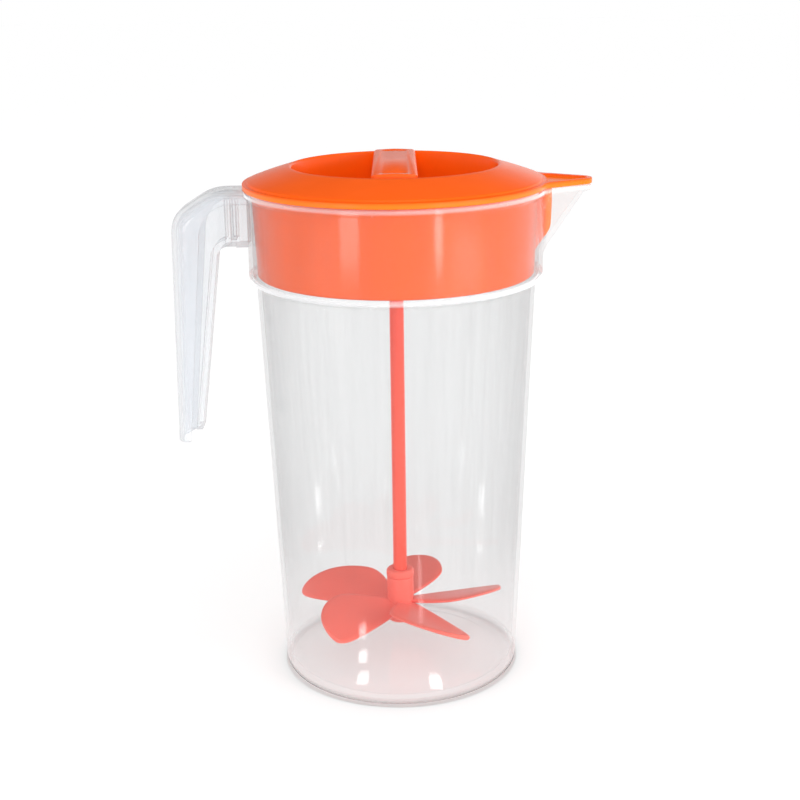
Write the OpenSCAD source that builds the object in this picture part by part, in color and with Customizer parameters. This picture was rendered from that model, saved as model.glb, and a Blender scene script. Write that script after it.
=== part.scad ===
// Formula mixing pitcher: clear jug with spout and channel handle, push-in lid, and a rod mixer
// with a five-blade rotor. Millimetres, +Z up, origin on the jug's axis at the table.
// The spout points along +X and the handle along -X.

/* [Jug] */
// Height of the rim that the lid sits on
rim_h = 225; // [180:1:280]
// Outer diameter of the jug wall at the foot
foot_d = 109; // [90:0.5:125]
// Outer diameter of the jug wall just under the collar
neck_d = 123.4; // [110:0.2:128]
// Outer diameter of the straight collar
collar_d = 130.2; // [126:0.2:150]
// Height of the collar
collar_h = 40; // [39:0.5:60]
// Height of the slope from the wall out to the collar
step_h = 5.5; // [3:0.5:12]
// Thickness of the jug wall
wall = 1.8; // [1.2:0.1:3]
// Thickness of the jug floor
floor_t = 2.4; // [1.6:0.1:5]
// Radius of the rounded foot edge
foot_round = 3; // [1.5:0.5:6]
// Width of the ring that the jug stands on
foot_ring_w = 4; // [2:0.5:8]
// Depth of the recess inside the foot ring
foot_recess = 1.2; // [0.6:0.1:2]
// How far the rim lip stands out of the collar
lip_w = 1.2; // [0.6:0.1:2]
// Height of the rim lip
lip_h = 2.4; // [1.5:0.1:5]
// Rounding of the rim's edges
rim_round = 0.6; // [0.3:0.1:0.9]
// Radius inside the jug where the step meets the collar
in_round = 1; // [0.5:0.1:2]
// Radius inside the jug between wall and floor
floor_round = 4; // [2:0.5:8]

/* [Spout] */
// Distance of the spout's root from the jug's axis
spout_x = 62; // [58:0.5:63]
// Distance of the spout's tip from the jug's axis, at the rim
spout_reach = 85.4; // [80:0.2:95]
// Width of the spout at its root, at the rim
spout_w = 30; // [26:0.5:36]
// Radius of the spout's tip in plan
spout_tip = 5.4; // [5:0.2:8]
// Depth of the spout below the rim
spout_h = 35; // [24:0.5:40]
// How far the rim lip stands out of the spout
spout_lip = 0.6; // [0.4:0.1:2]
// Radius of the blend between the rim and the spout
spout_blend = 10; // [4:0.5:20]

/* [Handle] */
// Depth of the handle's top face below the rim
handle_down = 0.4; // [0.3:0.1:10]
// Distance from the jug's axis where the top face starts to bend down
handle_run = 75; // [70:0.5:80]
// Radius of the first bend of the handle
shoulder_r = 20; // [14:0.5:34]
// Angle of the sloping shoulder
shoulder_a = 32; // [15:1:40]
// Length of the straight part of the shoulder
shoulder_len = 7.8; // [6:0.2:20]
// Radius of the bend from the shoulder into the grip
elbow_r = 13; // [6:0.5:16]
// Outward lean of the grip
grip_lean = 1.1; // [0:0.1:4]
// Length of the straight grip
grip_len = 95.4; // [70:0.2:110]
// Width of the handle at the collar
handle_w0 = 30; // [24:0.5:40]
// Width of the handle at the elbow
handle_w1 = 25; // [18:0.5:32]
// Width of the handle at the free end
handle_w2 = 22; // [16:0.5:30]
// Thickness of the channel's walls
handle_t = 2.2; // [1.6:0.1:3]
// Radius of the channel's corners across its width
strap_round = 8; // [6:0.5:9]
// Largest depth of the channel's rounded corners
strap_crown = 9; // [7:0.5:10]
// Depth of the side walls at the collar
side_d0 = 5.2; // [4:0.2:8]
// Distance from the jug's axis where the side walls' edge starts to bend down
side_run = 70.5; // [68:0.5:76]
// Radius of the bend of the side walls' edge
side_r = 15; // [10:0.1:18]
// Depth of the side walls at the free end
side_d2 = 6.2; // [5:0.2:12]
// Thickness of the middle web
web_t = 2.4; // [1.6:0.1:4]
// Width of the inner flange
flange_w = 12; // [8:0.5:18]
// Thickness of the inner flange
flange_t = 2.8; // [2:0.1:4]
// Radius of the inner flange's bend into the grip
finger_r = 5.2; // [4:0.2:7]
// How far the inner flange stops short of the free end
flange_short = 4.5; // [2:0.5:10]
// Width of the cross rib
rib_w = 15; // [8:0.5:18]
// Distance of the cross rib beyond the bend of the side walls
rib_off = 1.6; // [0.5:0.1:3]
// Width of the root block on the collar
root_w = 16; // [10:0.5:20]
// Thickness of the root block
root_t = 4.6; // [2:0.2:5]
// Depth of the inner flange below the handle's top face
flange_drop = 24.8; // [20:0.2:30]
// Distance of the grip's finger side from the jug's axis, at the top
grip_in0 = 78.8; // [76:0.2:84]
// Distance of the grip's finger side from the jug's axis, at the free end
grip_in2 = 89; // [80:0.2:92]

/* [Lid] */
// Outer diameter of the lid
lid_d = 133.4; // [130:0.2:150]
// Width of the flat edge round the dome
ledge_w = 2.2; // [1.6:0.1:3]
// Height of the step from the flat edge up to the dome
dome_step = 0.9; // [0.4:0.1:1.5]
// Thickness of the lid flange
lid_flange_t = 2.5; // [1.8:0.1:4]
// Thickness of the lid's shell
lid_wall = 1.7; // [1.2:0.1:2.4]
// Height of the dish's rim above the flange's underside
crown_h = 9.4; // [6:0.2:14]
// Rise of the dome above a straight slope
crown_bulge = 0.2; // [0:0.1:2]
// Diameter of the round dish at its rim
dish_d = 90; // [80:0.5:96]
// Depth of the dish
dish_depth = 21.4; // [17:0.2:24]
// Draft of the dish wall in degrees
dish_draft = 8; // [3:0.5:15]
// Radius of the dish's rim
dish_lip = 1.2; // [0.8:0.1:2]
// Radius between the dish's wall and floor
dish_round = 8; // [4:0.5:12]
// Depth of the skirt below the flange
skirt_depth = 38; // [30:0.5:39]
// Gap between the skirt and the collar, at the flange
skirt_gap = 0.4; // [0.3:0.05:0.8]
// How much slimmer the skirt's radius is at its lower edge
skirt_taper = 1.6; // [0.6:0.1:2.5]
// Reach of the skirt's bulge into the spout, from the lid's axis
plug_reach = 68.6; // [66:0.2:72]
// Gap between that bulge and the spout's wall
plug_gap = 0.5; // [0.3:0.05:1]
// How far the lid's tab stands out over the spout's lip
tab_over = 0.4; // [0.2:0.1:0.8]
// Width of the tab's raised edge
tab_edge = 2.2; // [1.4:0.1:3]
// Depth of the tab's sunk middle
tab_sink = 1.2; // [0.4:0.1:1.5]
// Gap between the lid and the rim
seat_gap = 0.3; // [0.2:0.05:0.6]
// Chamfer on the small edges of lid, bush and mixer
edge_cut = 0.4; // [0.2:0.05:0.6]

/* [Rod guide] */
// Outer diameter of the guide boss in the lid
boss_d = 18; // [15:0.5:22]
// Height of the guide boss under the dish's floor
boss_h = 12; // [9:0.5:16]
// Height of the guide boss above the dish's floor
boss_rise = 1; // [0.5:0.1:2]
// Outer diameter of the bush
bush_d = 10.8; // [10:0.1:12]
// Diameter of the bush's top flange
bush_flange_d = 16; // [13:0.5:18]
// Thickness of the bush's top flange
bush_flange_t = 1.6; // [1:0.1:2.5]
// Diameter of the bush's snap bead
bush_bead_d = 12.2; // [11.6:0.1:13]
// Height of the bush's snap bead
bush_bead_h = 2.2; // [1.4:0.1:4]
// Radial running clearance of rod in bush and of bush in lid
run_gap = 0.08; // [0.03:0.01:0.1]
// End gap between faces that turn on each other
end_gap = 0.35; // [0.3:0.05:0.6]

/* [Mixer] */
// Length of the grip bar
bar_len = 86.2; // [70:0.2:88]
// Width of the grip bar
bar_w = 19.4; // [14:0.2:26]
// Height of the grip bar
bar_h = 7.6; // [5:0.2:9]
// How far the grip bar stands above the dish's rim
bar_rise = 1.4; // [0:0.1:5]
// Corner radius of the grip bar in plan
bar_corner = 4; // [2:0.5:8]
// Radius of the grip bar's upper edges
bar_edge = 1.6; // [0.8:0.1:3]
// Shell thickness of the grip bar
bar_wall = 2; // [1.4:0.1:3]
// Rise of the bar's top along its middle
bar_crown = 0.4; // [0.1:0.1:1]
// Thickness of the ribs under the bar
bar_rib = 2.4; // [1.4:0.1:4]
// Length of the thumb groove near each end of the bar
groove_len = 12.6; // [8:0.2:16]
// Distance of the thumb groove from the bar's end
groove_in = 6.2; // [4:0.2:10]
// Depth of the thumb groove
groove_depth = 0.9; // [0.4:0.1:1.4]
// Radius of the thumb groove's section
groove_r = 6; // [4:0.5:10]
// Diameter of the stem under the bar
stem_d = 15; // [11:0.5:18]
// Diameter of the mixer rod
rod_d = 6.4; // [5:0.1:8]
// Depth of the rod's seat in the stem
rod_seat = 13; // [8:0.5:15]
// Gap of a pushed-on seat
seat_fit = 0.04; // [0.02:0.01:0.1]
// Width across flats of the six-sided rod end
key_af = 5; // [4:0.1:5.6]
// Depth of the six-sided socket in the rotor
key_len = 17; // [10:0.5:20]
// Gap between the rod's end and the socket's floor
key_gap = 0.3; // [0.1:0.1:1]
// Outer diameter of the collar on the rotor
ring_d = 13; // [11:0.2:16]
// Height of the collar on the rotor
ring_h = 3.6; // [2:0.1:5]

/* [Rotor] */
// Height of the rotor boss's top above the table
rotor_top = 40; // [36:0.2:48]
// Height of the rotor boss
rotor_h = 22.4; // [20:0.2:26]
// Diameter of the rotor boss
rotor_boss_d = 12.6; // [11:0.2:16]
// Radius of the boss's lower end
nose_r = 1.5; // [0.8:0.1:3]
// Number of blades
blades = 5; // [3:1:6]
// Turn of the first blade from the spout
blade_turn = 17; // [0:1:71]
// Tip radius of the blades
blade_r = 50; // [40:0.5:51]
// Height of the blades' middle line above the table
blade_z = 26.6; // [24:0.2:32]
// Width of a blade on its broad, raised side
blade_wide = 21; // [12:0.5:22]
// Width of a blade on its narrow, lowered side
blade_narrow = 6.4; // [4:0.2:8]
// Half width of a blade at the boss
blade_root = 5; // [3:0.2:6]
// Share of the span at which a blade is widest
blade_peak = 0.42; // [0.3:0.01:0.7]
// Squareness of a blade's tip on its narrow side, where 2 is a plain ellipse
blade_blunt = 4; // [2:0.5:6]
// Pitch of a blade at the boss in degrees
pitch_root = 13; // [0:1:20]
// Pitch of a blade at the tip in degrees
pitch_tip = 21; // [8:1:24]
// Thickness of a blade
blade_t = 2; // [1.4:0.1:2.6]

/* [Nodes] */
// Names of the sub-parts
// Sub-part to draw

/* [Hidden] */
$fn = 96;
eps = 0.01;
// overshoot of a cutting body, and reach of a body into the one that it grows from
cut = 1;
clear_c = [0.86, 0.89, 0.92];
handle_c = [0.88, 0.91, 0.95];
orange_c = [0.98, 0.36, 0.05];
rod_c = [0.96, 0.42, 0.30];
bush_c = [0.93, 0.92, 0.88];

// jug
foot_r = foot_d / 2;
neck_r = neck_d / 2;
collar_r = collar_d / 2;
collar_in = collar_r - wall;
collar_z = rim_h - collar_h;
rim_top = rim_h - seat_gap;
lip_r = collar_r + lip_w;
wall_lean = (neck_r - foot_r) / (collar_z - step_h);

// spout: radius of its root, place of its tip's centre, and the level width of a wall in its sloping sides
root_r = spout_w / 2;
tip_x = spout_reach - spout_tip;
spout_skin = sqrt(1 + pow(root_r / spout_h, 2));
// least angle in degrees that the tip's arc covers on each side
side_min = 15;

// lid
lid_r = lid_d / 2;
tab_out = spout_lip + tab_over;
flange_top = rim_h + lid_flange_t;
dish_r = dish_d / 2;
crown_z = rim_h + crown_h;
dish_z = crown_z - dish_depth;
dome_foot_r = lid_r - ledge_w;
dome_foot_z = flange_top + dome_step;
skirt_r = collar_in - skirt_gap;
skirt_bot_r = skirt_r - skirt_taper;
skirt_z = rim_h - skirt_depth;
boss_z = dish_z - boss_h;
boss_top = dish_z + boss_rise;
bush_r = bush_d / 2;
guide_r = bush_r + run_gap;

// mixer
rod_r = rod_d / 2;
bar_top = crown_z + bar_rise;
bar_z = bar_top - bar_h;
stem_z = boss_top + bush_flange_t + 2 * end_gap;
rod_top = stem_z + rod_seat;
ring_top = rotor_top + ring_h;
rotor_z = rotor_top - rotor_h;

function arc(cx, cy, r, a0, a1, n = 6) =
    [for (i = [0 : n]) let (a = a0 + (a1 - a0) * i / n) [cx + r * cos(a), cy + r * sin(a)]];
function wall_r(z) = foot_r + wall_lean * z;
function flip(v) = [for (i = [len(v) - 1 : -1 : 0]) v[i]];
function mix(a, b, t) = a + (b - a) * t;

// Spout in plan at the rim, drawn in by inset: rounded tip, straight sides and rounded root
function tip_r(inset) = max(spout_tip - inset, eps);
function side_a(inset) =
    acos(min((root_r - inset - tip_r(inset)) / (tip_x - spout_x), cos(side_min)));
function spout_plan(inset) = let (a = side_a(inset)) concat(
    arc(tip_x, 0, tip_r(inset), -a, a, 10),
    arc(spout_x, 0, root_r - inset, a, 90, 3),
    arc(spout_x, 0, root_r - inset, -90, -a, 3));

// Round rim with the spout, which is drawn out by grow, and a hollow blend on both sides of the join.
// The blend meets the spout's straight side, or its rounded root where the side starts further out.
module rim_plan(r, grow) {
    a = side_a(-grow);
    far = r + spout_blend;
    near = root_r + grow + spout_blend;
    d = spout_x * cos(a) + near;
    t = sqrt(max(far * far - d * d, 0));
    x = (spout_x * spout_x + far * far - near * near) / (2 * spout_x);
    blend = t > spout_x * sin(a)
        ? d * [cos(a), sin(a)] + t * [sin(a), -cos(a)]
        : [x, sqrt(far * far - x * x)];
    to_spout = t > spout_x * sin(a) ? [cos(a), sin(a)] : (blend - [spout_x, 0]) / near;
    circle(r);
    polygon(spout_plan(-grow));
    for (side = [0, 1])
        mirror([0, side])
            difference() {
                polygon([[0, 0], blend, blend - (spout_blend + root_r / 2) * to_spout]);
                translate(blend) circle(spout_blend);
            }
}

// The spout's beak, which runs down to a point, thinned all round by skin and cut off at height top
module spout_beak(skin, top) {
    inset = skin * spout_skin;
    depth = spout_h * (1 - inset / root_r);
    k = 1 + (top - rim_h) / depth;
    plan = [for (p = spout_plan(inset)) [mix(spout_x, p[0], k), p[1] * k, top]];
    n = len(plan);
    polyhedron(concat(plan, [[spout_x, 0, rim_h - depth]]),
               concat([[for (i = [n - 1 : -1 : 0]) i]], [for (i = [0 : n - 1]) [i, (i + 1) % n, n]]));
}

module pitcher_body() {
    in_floor = foot_recess + floor_t;
    outer = concat(
        [[0, foot_recess], [wall_r(0) - foot_round - foot_ring_w - foot_recess, foot_recess],
         [wall_r(0) - foot_round - foot_ring_w, 0], [wall_r(0) - foot_round, 0]],
        arc(wall_r(foot_round) - foot_round, foot_round, foot_round, -75, 0),
        [[neck_r, collar_z - step_h]],
        arc(neck_r + step_h * 0.2, collar_z - step_h * 0.45, step_h * 0.25, 150, 120, 2),
        arc(collar_r - step_h * 0.3, collar_z + step_h * 0.25, step_h * 0.3, -60, 0, 4),
        [[collar_r, rim_top - lip_h - lip_w], [lip_r, rim_top - lip_h]],
        arc(lip_r - rim_round, rim_top - rim_round, rim_round, 0, 90, 3));
    inner = concat(
        [[collar_in + rim_round, rim_top], [collar_in, rim_top - rim_round]],
        arc(collar_in - in_round, collar_z + step_h * 0.25, in_round, 0, -60, 3),
        [[neck_r - wall, collar_z - step_h + wall / 3]],
        arc(wall_r(in_floor + floor_round) - wall - floor_round, in_floor + floor_round,
            floor_round, 0, -90),
        [[0, in_floor]]);
    color(clear_c)
        difference() {
            union() {
                rotate_extrude() polygon(concat(outer, inner));
                difference() {
                    union() {
                        spout_beak(0, rim_top);
                        translate([0, 0, rim_top - lip_h])
                            linear_extrude(lip_h) rim_plan(lip_r, spout_lip);
                    }
                    translate([0, 0, rim_h - 2 * spout_h])
                        cylinder(h = 3 * spout_h, r = collar_in + wall / 2);
                }
            }
            spout_beak(wall, rim_h + cut);
        }
}

// Side view curves of the handle, as distance from the jug's axis and height
run_in = collar_r - 4 * cut;
handle_z = rim_h - handle_down;
shoulder_end = [handle_run + shoulder_r * sin(shoulder_a),
                handle_z - shoulder_r * (1 - cos(shoulder_a))];
elbow_start = shoulder_end + shoulder_len * [cos(shoulder_a), -sin(shoulder_a)];
elbow_c = elbow_start - elbow_r * [sin(shoulder_a), cos(shoulder_a)];
elbow_end = elbow_c + elbow_r * [cos(grip_lean), sin(grip_lean)];
handle_end = elbow_end + grip_len * [sin(grip_lean), -cos(grip_lean)];
side_z = handle_z - side_d0;
side_end = [handle_end[0] - side_d2, handle_end[1]];
side_top = [side_run + side_r, side_z - side_r];
flange_z = handle_z - flange_drop;
flange_end = [grip_in2, handle_end[1] + flange_short];

outer_line = concat(
    [[run_in, handle_z], [mix(run_in, handle_run, 0.5), handle_z]],
    arc(handle_run, handle_z - shoulder_r, shoulder_r, 90, 90 - shoulder_a, 4),
    [for (i = [1 : 3]) mix(shoulder_end, elbow_start, i / 3)],
    [for (p = arc(elbow_c[0], elbow_c[1], elbow_r, 90 - shoulder_a - 8, grip_lean, 7)) p],
    [for (i = [1 : 6]) mix(elbow_end, handle_end, i / 6)]);
side_line = concat(
    [[run_in, side_z], [mix(run_in, side_run, 0.5), side_z]],
    arc(side_run, side_z - side_r, side_r, 90, 52, 4),
    [for (i = [1 : 3]) let (a = 52 - 22 * i / 3)
        [side_run + side_r * cos(a), side_z - side_r + side_r * sin(a)]],
    arc(side_run, side_z - side_r, side_r, 26, 0, 7),
    [for (i = [1 : 6]) mix(side_top, side_end, i / 6)]);
finger_line = concat(
    [[run_in, flange_z]],
    arc(grip_in0 - finger_r, flange_z - finger_r, finger_r, 90, 6, 7),
    [flange_end]);
flange_line = concat(
    [[run_in, flange_z + flange_t]],
    arc(grip_in0 - finger_r, flange_z - finger_r, finger_r + flange_t, 90, 6, 7),
    [flange_end + [flange_t, 0]]);

// Outer and inner line of the channel's section: depth d, width w, skin t
function channel(d, w, n = 6) = let (a = min(strap_crown, 0.62 * d), b = strap_round) concat(
    [[d, -w / 2]],
    [for (i = [0 : n]) let (q = 90 * i / n)
        [a - a * sin(q), -w / 2 + b - b * cos(q)]],
    [for (i = [0 : n]) let (q = 90 - 90 * i / n)
        [a - a * sin(q), w / 2 - b + b * cos(q)]],
    [[d, w / 2]]);
function channel_in(d, w, t, n = 6) =
    let (a = max(min(strap_crown, 0.62 * d) - t, t / 4), b = strap_round - t) concat(
    [[d, -w / 2 + t]],
    [for (i = [0 : n]) let (q = 90 * i / n)
        [t + a - a * sin(q), -w / 2 + t + b - b * cos(q)]],
    [for (i = [0 : n]) let (q = 90 - 90 * i / n)
        [t + a - a * sin(q), w / 2 - t - b + b * cos(q)]],
    [[d, w / 2 - t]]);

// Channel of the handle, swept between the outer line and the side walls' edge
module handle_channel() {
    n = len(outer_line);
    elbow_i = 12;
    width = [for (i = [0 : n - 1]) i < elbow_i
        ? mix(handle_w0, handle_w1, sqrt(i / elbow_i))
        : mix(handle_w1, handle_w2, (i - elbow_i) / (n - 1 - elbow_i))];
    rings = [for (i = [0 : n - 1])
        let (o = outer_line[i], e = side_line[i], d = norm(e - o), k = (e - o) / d)
        [for (p = concat(channel(d, width[i]), flip(channel_in(d, width[i], handle_t))))
            [-(o[0] + k[0] * p[0]), p[1], o[1] + k[1] * p[0]]]];
    m = len(rings[0]);
    h = m / 2;
    pts = [for (r = rings) for (p = r) p];
    sides = [for (i = [0 : n - 2]) for (j = [0 : m - 1])
        let (a = i * m + j, b = i * m + (j + 1) % m) for (f = [[a, a + m, b], [b, a + m, b + m]]) f];
    start = [for (j = [0 : h - 2]) for (f = [[j, j + 1, m - 1 - j], [j + 1, m - 2 - j, m - 1 - j]]) f];
    e0 = (n - 1) * m;
    end = [for (j = [0 : h - 2])
        for (f = [[e0 + j, e0 + m - 1 - j, e0 + j + 1],
                  [e0 + j + 1, e0 + m - 1 - j, e0 + m - 2 - j]]) f];
    polyhedron(pts, concat(sides, start, end));
}

// Flat outline in the handle's middle plane, t thick
module handle_slab(pts, t) {
    rotate([90, 0, 0])
        translate([0, 0, -t / 2])
            linear_extrude(t) polygon([for (p = pts) [-p[0], p[1]]]);
}

module pitcher_handle() {
    strap_in = [for (i = [0 : len(outer_line) - 1])
        let (o = outer_line[i], e = side_line[i]) o + (e - o) / norm(e - o) * handle_t * 0.6];
    color(handle_c)
        difference() {
            union() {
                handle_channel();
                handle_slab(concat(finger_line, flip(flange_line)), flange_w);
                handle_slab(concat([for (p = finger_line) p + [eps, flange_t / 4]], flip(strap_in)), web_t);
                translate([-side_run - web_t - rib_off, -rib_w / 2, flange_z + flange_t / 2])
                    cube([web_t, rib_w, flange_drop - side_d0]);
                translate([-collar_r - root_t, -root_w / 2, flange_z])
                    cube([root_t + 3 * cut, root_w, flange_drop - handle_t / 2]);
            }
            cylinder(h = rim_h, r = collar_r);
            translate([0, 0, rim_top - lip_h - lip_w])
                cylinder(h = lip_w + eps, r1 = collar_r, r2 = lip_r + eps);
            translate([0, 0, rim_top - lip_h]) cylinder(h = lip_h + cut, r = lip_r);
        }
}

module lid() {
    t = tan(dish_draft);
    fr = dish_r - dish_lip - (dish_depth - dish_lip - dish_round) * t - dish_round;
    dome = [for (i = [0 : 6]) let (s = i / 6)
        [mix(dish_r + dish_lip, dome_foot_r, s),
         mix(crown_z, dome_foot_z, s) + crown_bulge * 4 * s * (1 - s)]];
    top = concat(
        [[guide_r, boss_top], [boss_d / 2 - edge_cut, boss_top], [boss_d / 2, dish_z]],
        arc(fr, dish_z + dish_round, dish_round, -90, -dish_draft, 7),
        arc(dish_r + dish_lip, crown_z - dish_lip, dish_lip, 180 - dish_draft, 90, 4),
        [for (i = [1 : 6]) dome[i]],
        [[dome_foot_r + edge_cut, flange_top], [lid_r - edge_cut, flange_top],
         [lid_r, flange_top - edge_cut], [lid_r, rim_h + edge_cut], [lid_r - edge_cut, rim_h]]);
    under = concat(
        [[skirt_r, rim_h], [skirt_bot_r, skirt_z + edge_cut], [skirt_bot_r - edge_cut, skirt_z],
         [skirt_bot_r - lid_wall + edge_cut, skirt_z], [skirt_bot_r - lid_wall, skirt_z + edge_cut],
         [skirt_r - lid_wall, rim_h]],
        [for (i = [5 : -1 : 1]) dome[i] - [0, lid_wall]],
        [[dish_r + lid_wall, crown_z - lid_wall - edge_cut]],
        arc(fr, dish_z + dish_round, dish_round + lid_wall, -dish_draft, -90, 7),
        [[boss_d / 2, dish_z - lid_wall], [boss_d / 2 - edge_cut, boss_z], [guide_r, boss_z]]);
    plug_in = wall + plug_gap;
    color(orange_c)
        difference() {
            union() {
                rotate_extrude() polygon(concat(top, under));
                difference() {
                    translate([0, 0, rim_h])
                        linear_extrude(lid_flange_t) rim_plan(lid_r, tab_out);
                    translate([0, 0, rim_h - cut])
                        cylinder(h = lid_flange_t + 2 * cut, r = dome_foot_r - edge_cut);
                }
                difference() {
                    intersection() {
                        spout_beak(plug_in, rim_h + eps);
                        cylinder(h = rim_h + cut, r = plug_reach);
                    }
                    cylinder(h = rim_h + cut, r = skirt_bot_r - lid_wall);
                }
            }
            intersection() {
                spout_beak(plug_in + lid_wall, rim_h);
                cylinder(h = rim_h, r = plug_reach - lid_wall);
            }
            translate([0, 0, flange_top - tab_sink])
                linear_extrude(tab_sink + cut)
                    difference() {
                        polygon(spout_plan(tab_edge - tab_out));
                        circle(lid_r - edge_cut);
                    }
        }
}

module rod_bush() {
    flange_z0 = boss_top + end_gap;
    bead_z = boss_z - end_gap;
    color(bush_c)
        rotate_extrude()
            polygon([[rod_r + run_gap, bead_z - bush_bead_h],
                     [bush_r - edge_cut, bead_z - bush_bead_h],
                     [bush_bead_d / 2, bead_z - edge_cut], [bush_bead_d / 2, bead_z], [bush_r, bead_z],
                     [bush_r, flange_z0], [bush_flange_d / 2, flange_z0],
                     [bush_flange_d / 2, flange_z0 + bush_flange_t - edge_cut],
                     [bush_flange_d / 2 - edge_cut, flange_z0 + bush_flange_t],
                     [rod_r + run_gap, flange_z0 + bush_flange_t]]);
}

// Plan outline of the grip bar, drawn in by inset
module bar_plan(inset) {
    c = max(bar_corner - inset, edge_cut);
    w = bar_w / 2 - inset - c;
    l = bar_len / 2 - inset - c;
    square([2 * w, 2 * (l + c)], center = true);
    square([2 * (w + c), 2 * l], center = true);
    for (x = [-w, w]) for (y = [-l, l]) translate([x, y]) circle(c);
}

module grip_bar() {
    half_w = bar_w / 2;
    half_l = bar_len / 2;
    section = concat([[-half_w, bar_z], [half_w, bar_z]],
        arc(half_w - bar_edge, bar_top - bar_edge - bar_crown, bar_edge, 0, 80, 5),
        [[0, bar_top]],
        arc(-half_w + bar_edge, bar_top - bar_edge - bar_crown, bar_edge, 100, 180, 5));
    side = concat([[-half_l, bar_z], [half_l, bar_z]],
        arc(half_l - bar_edge, bar_top - bar_edge, bar_edge, 0, 90, 5),
        arc(-half_l + bar_edge, bar_top - bar_edge, bar_edge, 90, 180, 5));
    groove_half = groove_len / 2 - sqrt(groove_depth * (2 * groove_r - groove_depth));
    groove = concat(arc(0, -groove_half, groove_r, -90, 0, 8), arc(0, groove_half, groove_r, 0, 90, 8));
    color(orange_c)
        difference() {
            union() {
                difference() {
                    intersection() {
                        translate([0, 0, bar_z - cut]) linear_extrude(bar_h + 2 * cut) bar_plan(0);
                        translate([0, half_l + cut, 0]) rotate([90, 0, 0])
                            linear_extrude(bar_len + 2 * cut) polygon(section);
                        translate([-half_w - cut, 0, 0]) rotate([90, 0, 90])
                            linear_extrude(bar_w + 2 * cut) polygon(side);
                    }
                    translate([0, 0, bar_z - cut])
                        linear_extrude(bar_h + cut - bar_wall - groove_depth)
                            difference() {
                                bar_plan(bar_wall);
                                circle(stem_d / 2 - cut);
                                square([bar_rib, bar_len], center = true);
                                for (y = [-bar_len / 4, bar_len / 4])
                                    translate([0, y]) square([bar_w, bar_rib], center = true);
                            }
                }
                translate([0, 0, stem_z]) cylinder(h = bar_top - bar_wall - stem_z, d = stem_d);
            }
            translate([0, 0, stem_z - cut])
                cylinder(h = rod_seat + cut + seat_fit, r = rod_r + seat_fit);
            for (s = [-1, 1])
                translate([0, s * (half_l - groove_in), bar_top + groove_r - groove_depth])
                    rotate([0, 90, 0])
                        rotate_extrude() polygon(groove);
        }
}

module mixer_rod() {
    key_r = key_af / 2 / cos(30);
    color(rod_c)
        union() {
            translate([0, 0, rotor_top + seat_fit])
                cylinder(h = rod_top - rotor_top - seat_fit - edge_cut, r = rod_r);
            translate([0, 0, rod_top - edge_cut])
                cylinder(h = edge_cut, r1 = rod_r, r2 = rod_r - edge_cut);
            translate([0, 0, rotor_top - key_len + key_gap])
                cylinder(h = key_len + cut, r = key_r, $fn = 6);
        }
}

module rotor_collar() {
    r = ring_d / 2;
    z = rotor_top + seat_fit;
    color(orange_c)
        rotate_extrude()
            polygon([[rod_r + seat_fit, z], [r - edge_cut, z], [r, z + edge_cut],
                     [r, ring_top - 2 * edge_cut], [r - 2 * edge_cut, ring_top],
                     [rod_r + seat_fit, ring_top]]);
}

// One blade: flat paddle, broad on its raised side, turned about its own span by the pitch
module blade() {
    n = 14;
    r0 = rotor_boss_d / 2 - 2 * cut;
    function reach(w, s, blunt) = s < blade_peak
        ? blade_root + (w - blade_root) * sin(90 * s / blade_peak)
        : w * pow(max(1 - pow((s - blade_peak) / (1 - blade_peak), blunt), 0), 1 / blunt);
    ring = [for (i = [0 : n])
        let (s = sin(90 * i / n) * 0.998, r = r0 + (blade_r - r0) * s,
             p = mix(pitch_root, pitch_tip, s), up = reach(blade_wide, s, 2),
             dn = reach(blade_narrow, s, blade_blunt), e = min(blade_t / 2, (up + dn) * 0.3))
        [for (q = [[-dn, 0], [-dn + e * 0.3, e * 0.7], [-dn + e, e], [mix(-dn, up, 0.5), e], [up - e, e],
                   [up - e * 0.3, e * 0.7], [up, 0], [up - e * 0.3, -e * 0.7], [up - e, -e],
                   [mix(-dn, up, 0.5), -e], [-dn + e, -e], [-dn + e * 0.3, -e * 0.7]])
            [r, -q[0] * cos(p) + q[1] * sin(p), q[0] * sin(p) + q[1] * cos(p)]]];
    m = len(ring[0]);
    pts = [for (r = ring) for (p = r) p];
    sides = [for (i = [0 : n - 1]) for (j = [0 : m - 1])
        let (a = i * m + j, b = i * m + (j + 1) % m) for (f = [[a, a + m, b], [b, a + m, b + m]]) f];
    caps = [for (j = [1 : m - 2]) for (f = [[0, j, j + 1], [n * m, n * m + j + 1, n * m + j]]) f];
    polyhedron(pts, concat(sides, caps));
}

module rotor() {
    r = rotor_boss_d / 2;
    key_r = (key_af / 2 + seat_fit) / cos(30);
    color(orange_c)
        difference() {
            union() {
                rotate_extrude()
                    polygon(concat(
                        [[0, rotor_z]],
                        arc(r - nose_r, rotor_z + nose_r, nose_r, -90, 0, 4),
                        [[r, rotor_top - edge_cut], [r - edge_cut, rotor_top], [0, rotor_top]]));
                for (i = [0 : blades - 1])
                    rotate([0, 0, blade_turn + i * 360 / blades]) translate([0, 0, blade_z]) blade();
            }
            translate([0, 0, rotor_top - key_len])
                cylinder(h = key_len + cut, r = key_r, $fn = 6);
        }
}

pitcher_body();
pitcher_handle();
lid();
rod_bush();
grip_bar();
mixer_rod();
rotor_collar();
rotor();
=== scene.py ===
import math

import bmesh
import bpy
from bpy.props import FloatProperty, FloatVectorProperty, IntProperty, PointerProperty
from mathutils import Matrix, Vector


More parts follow.
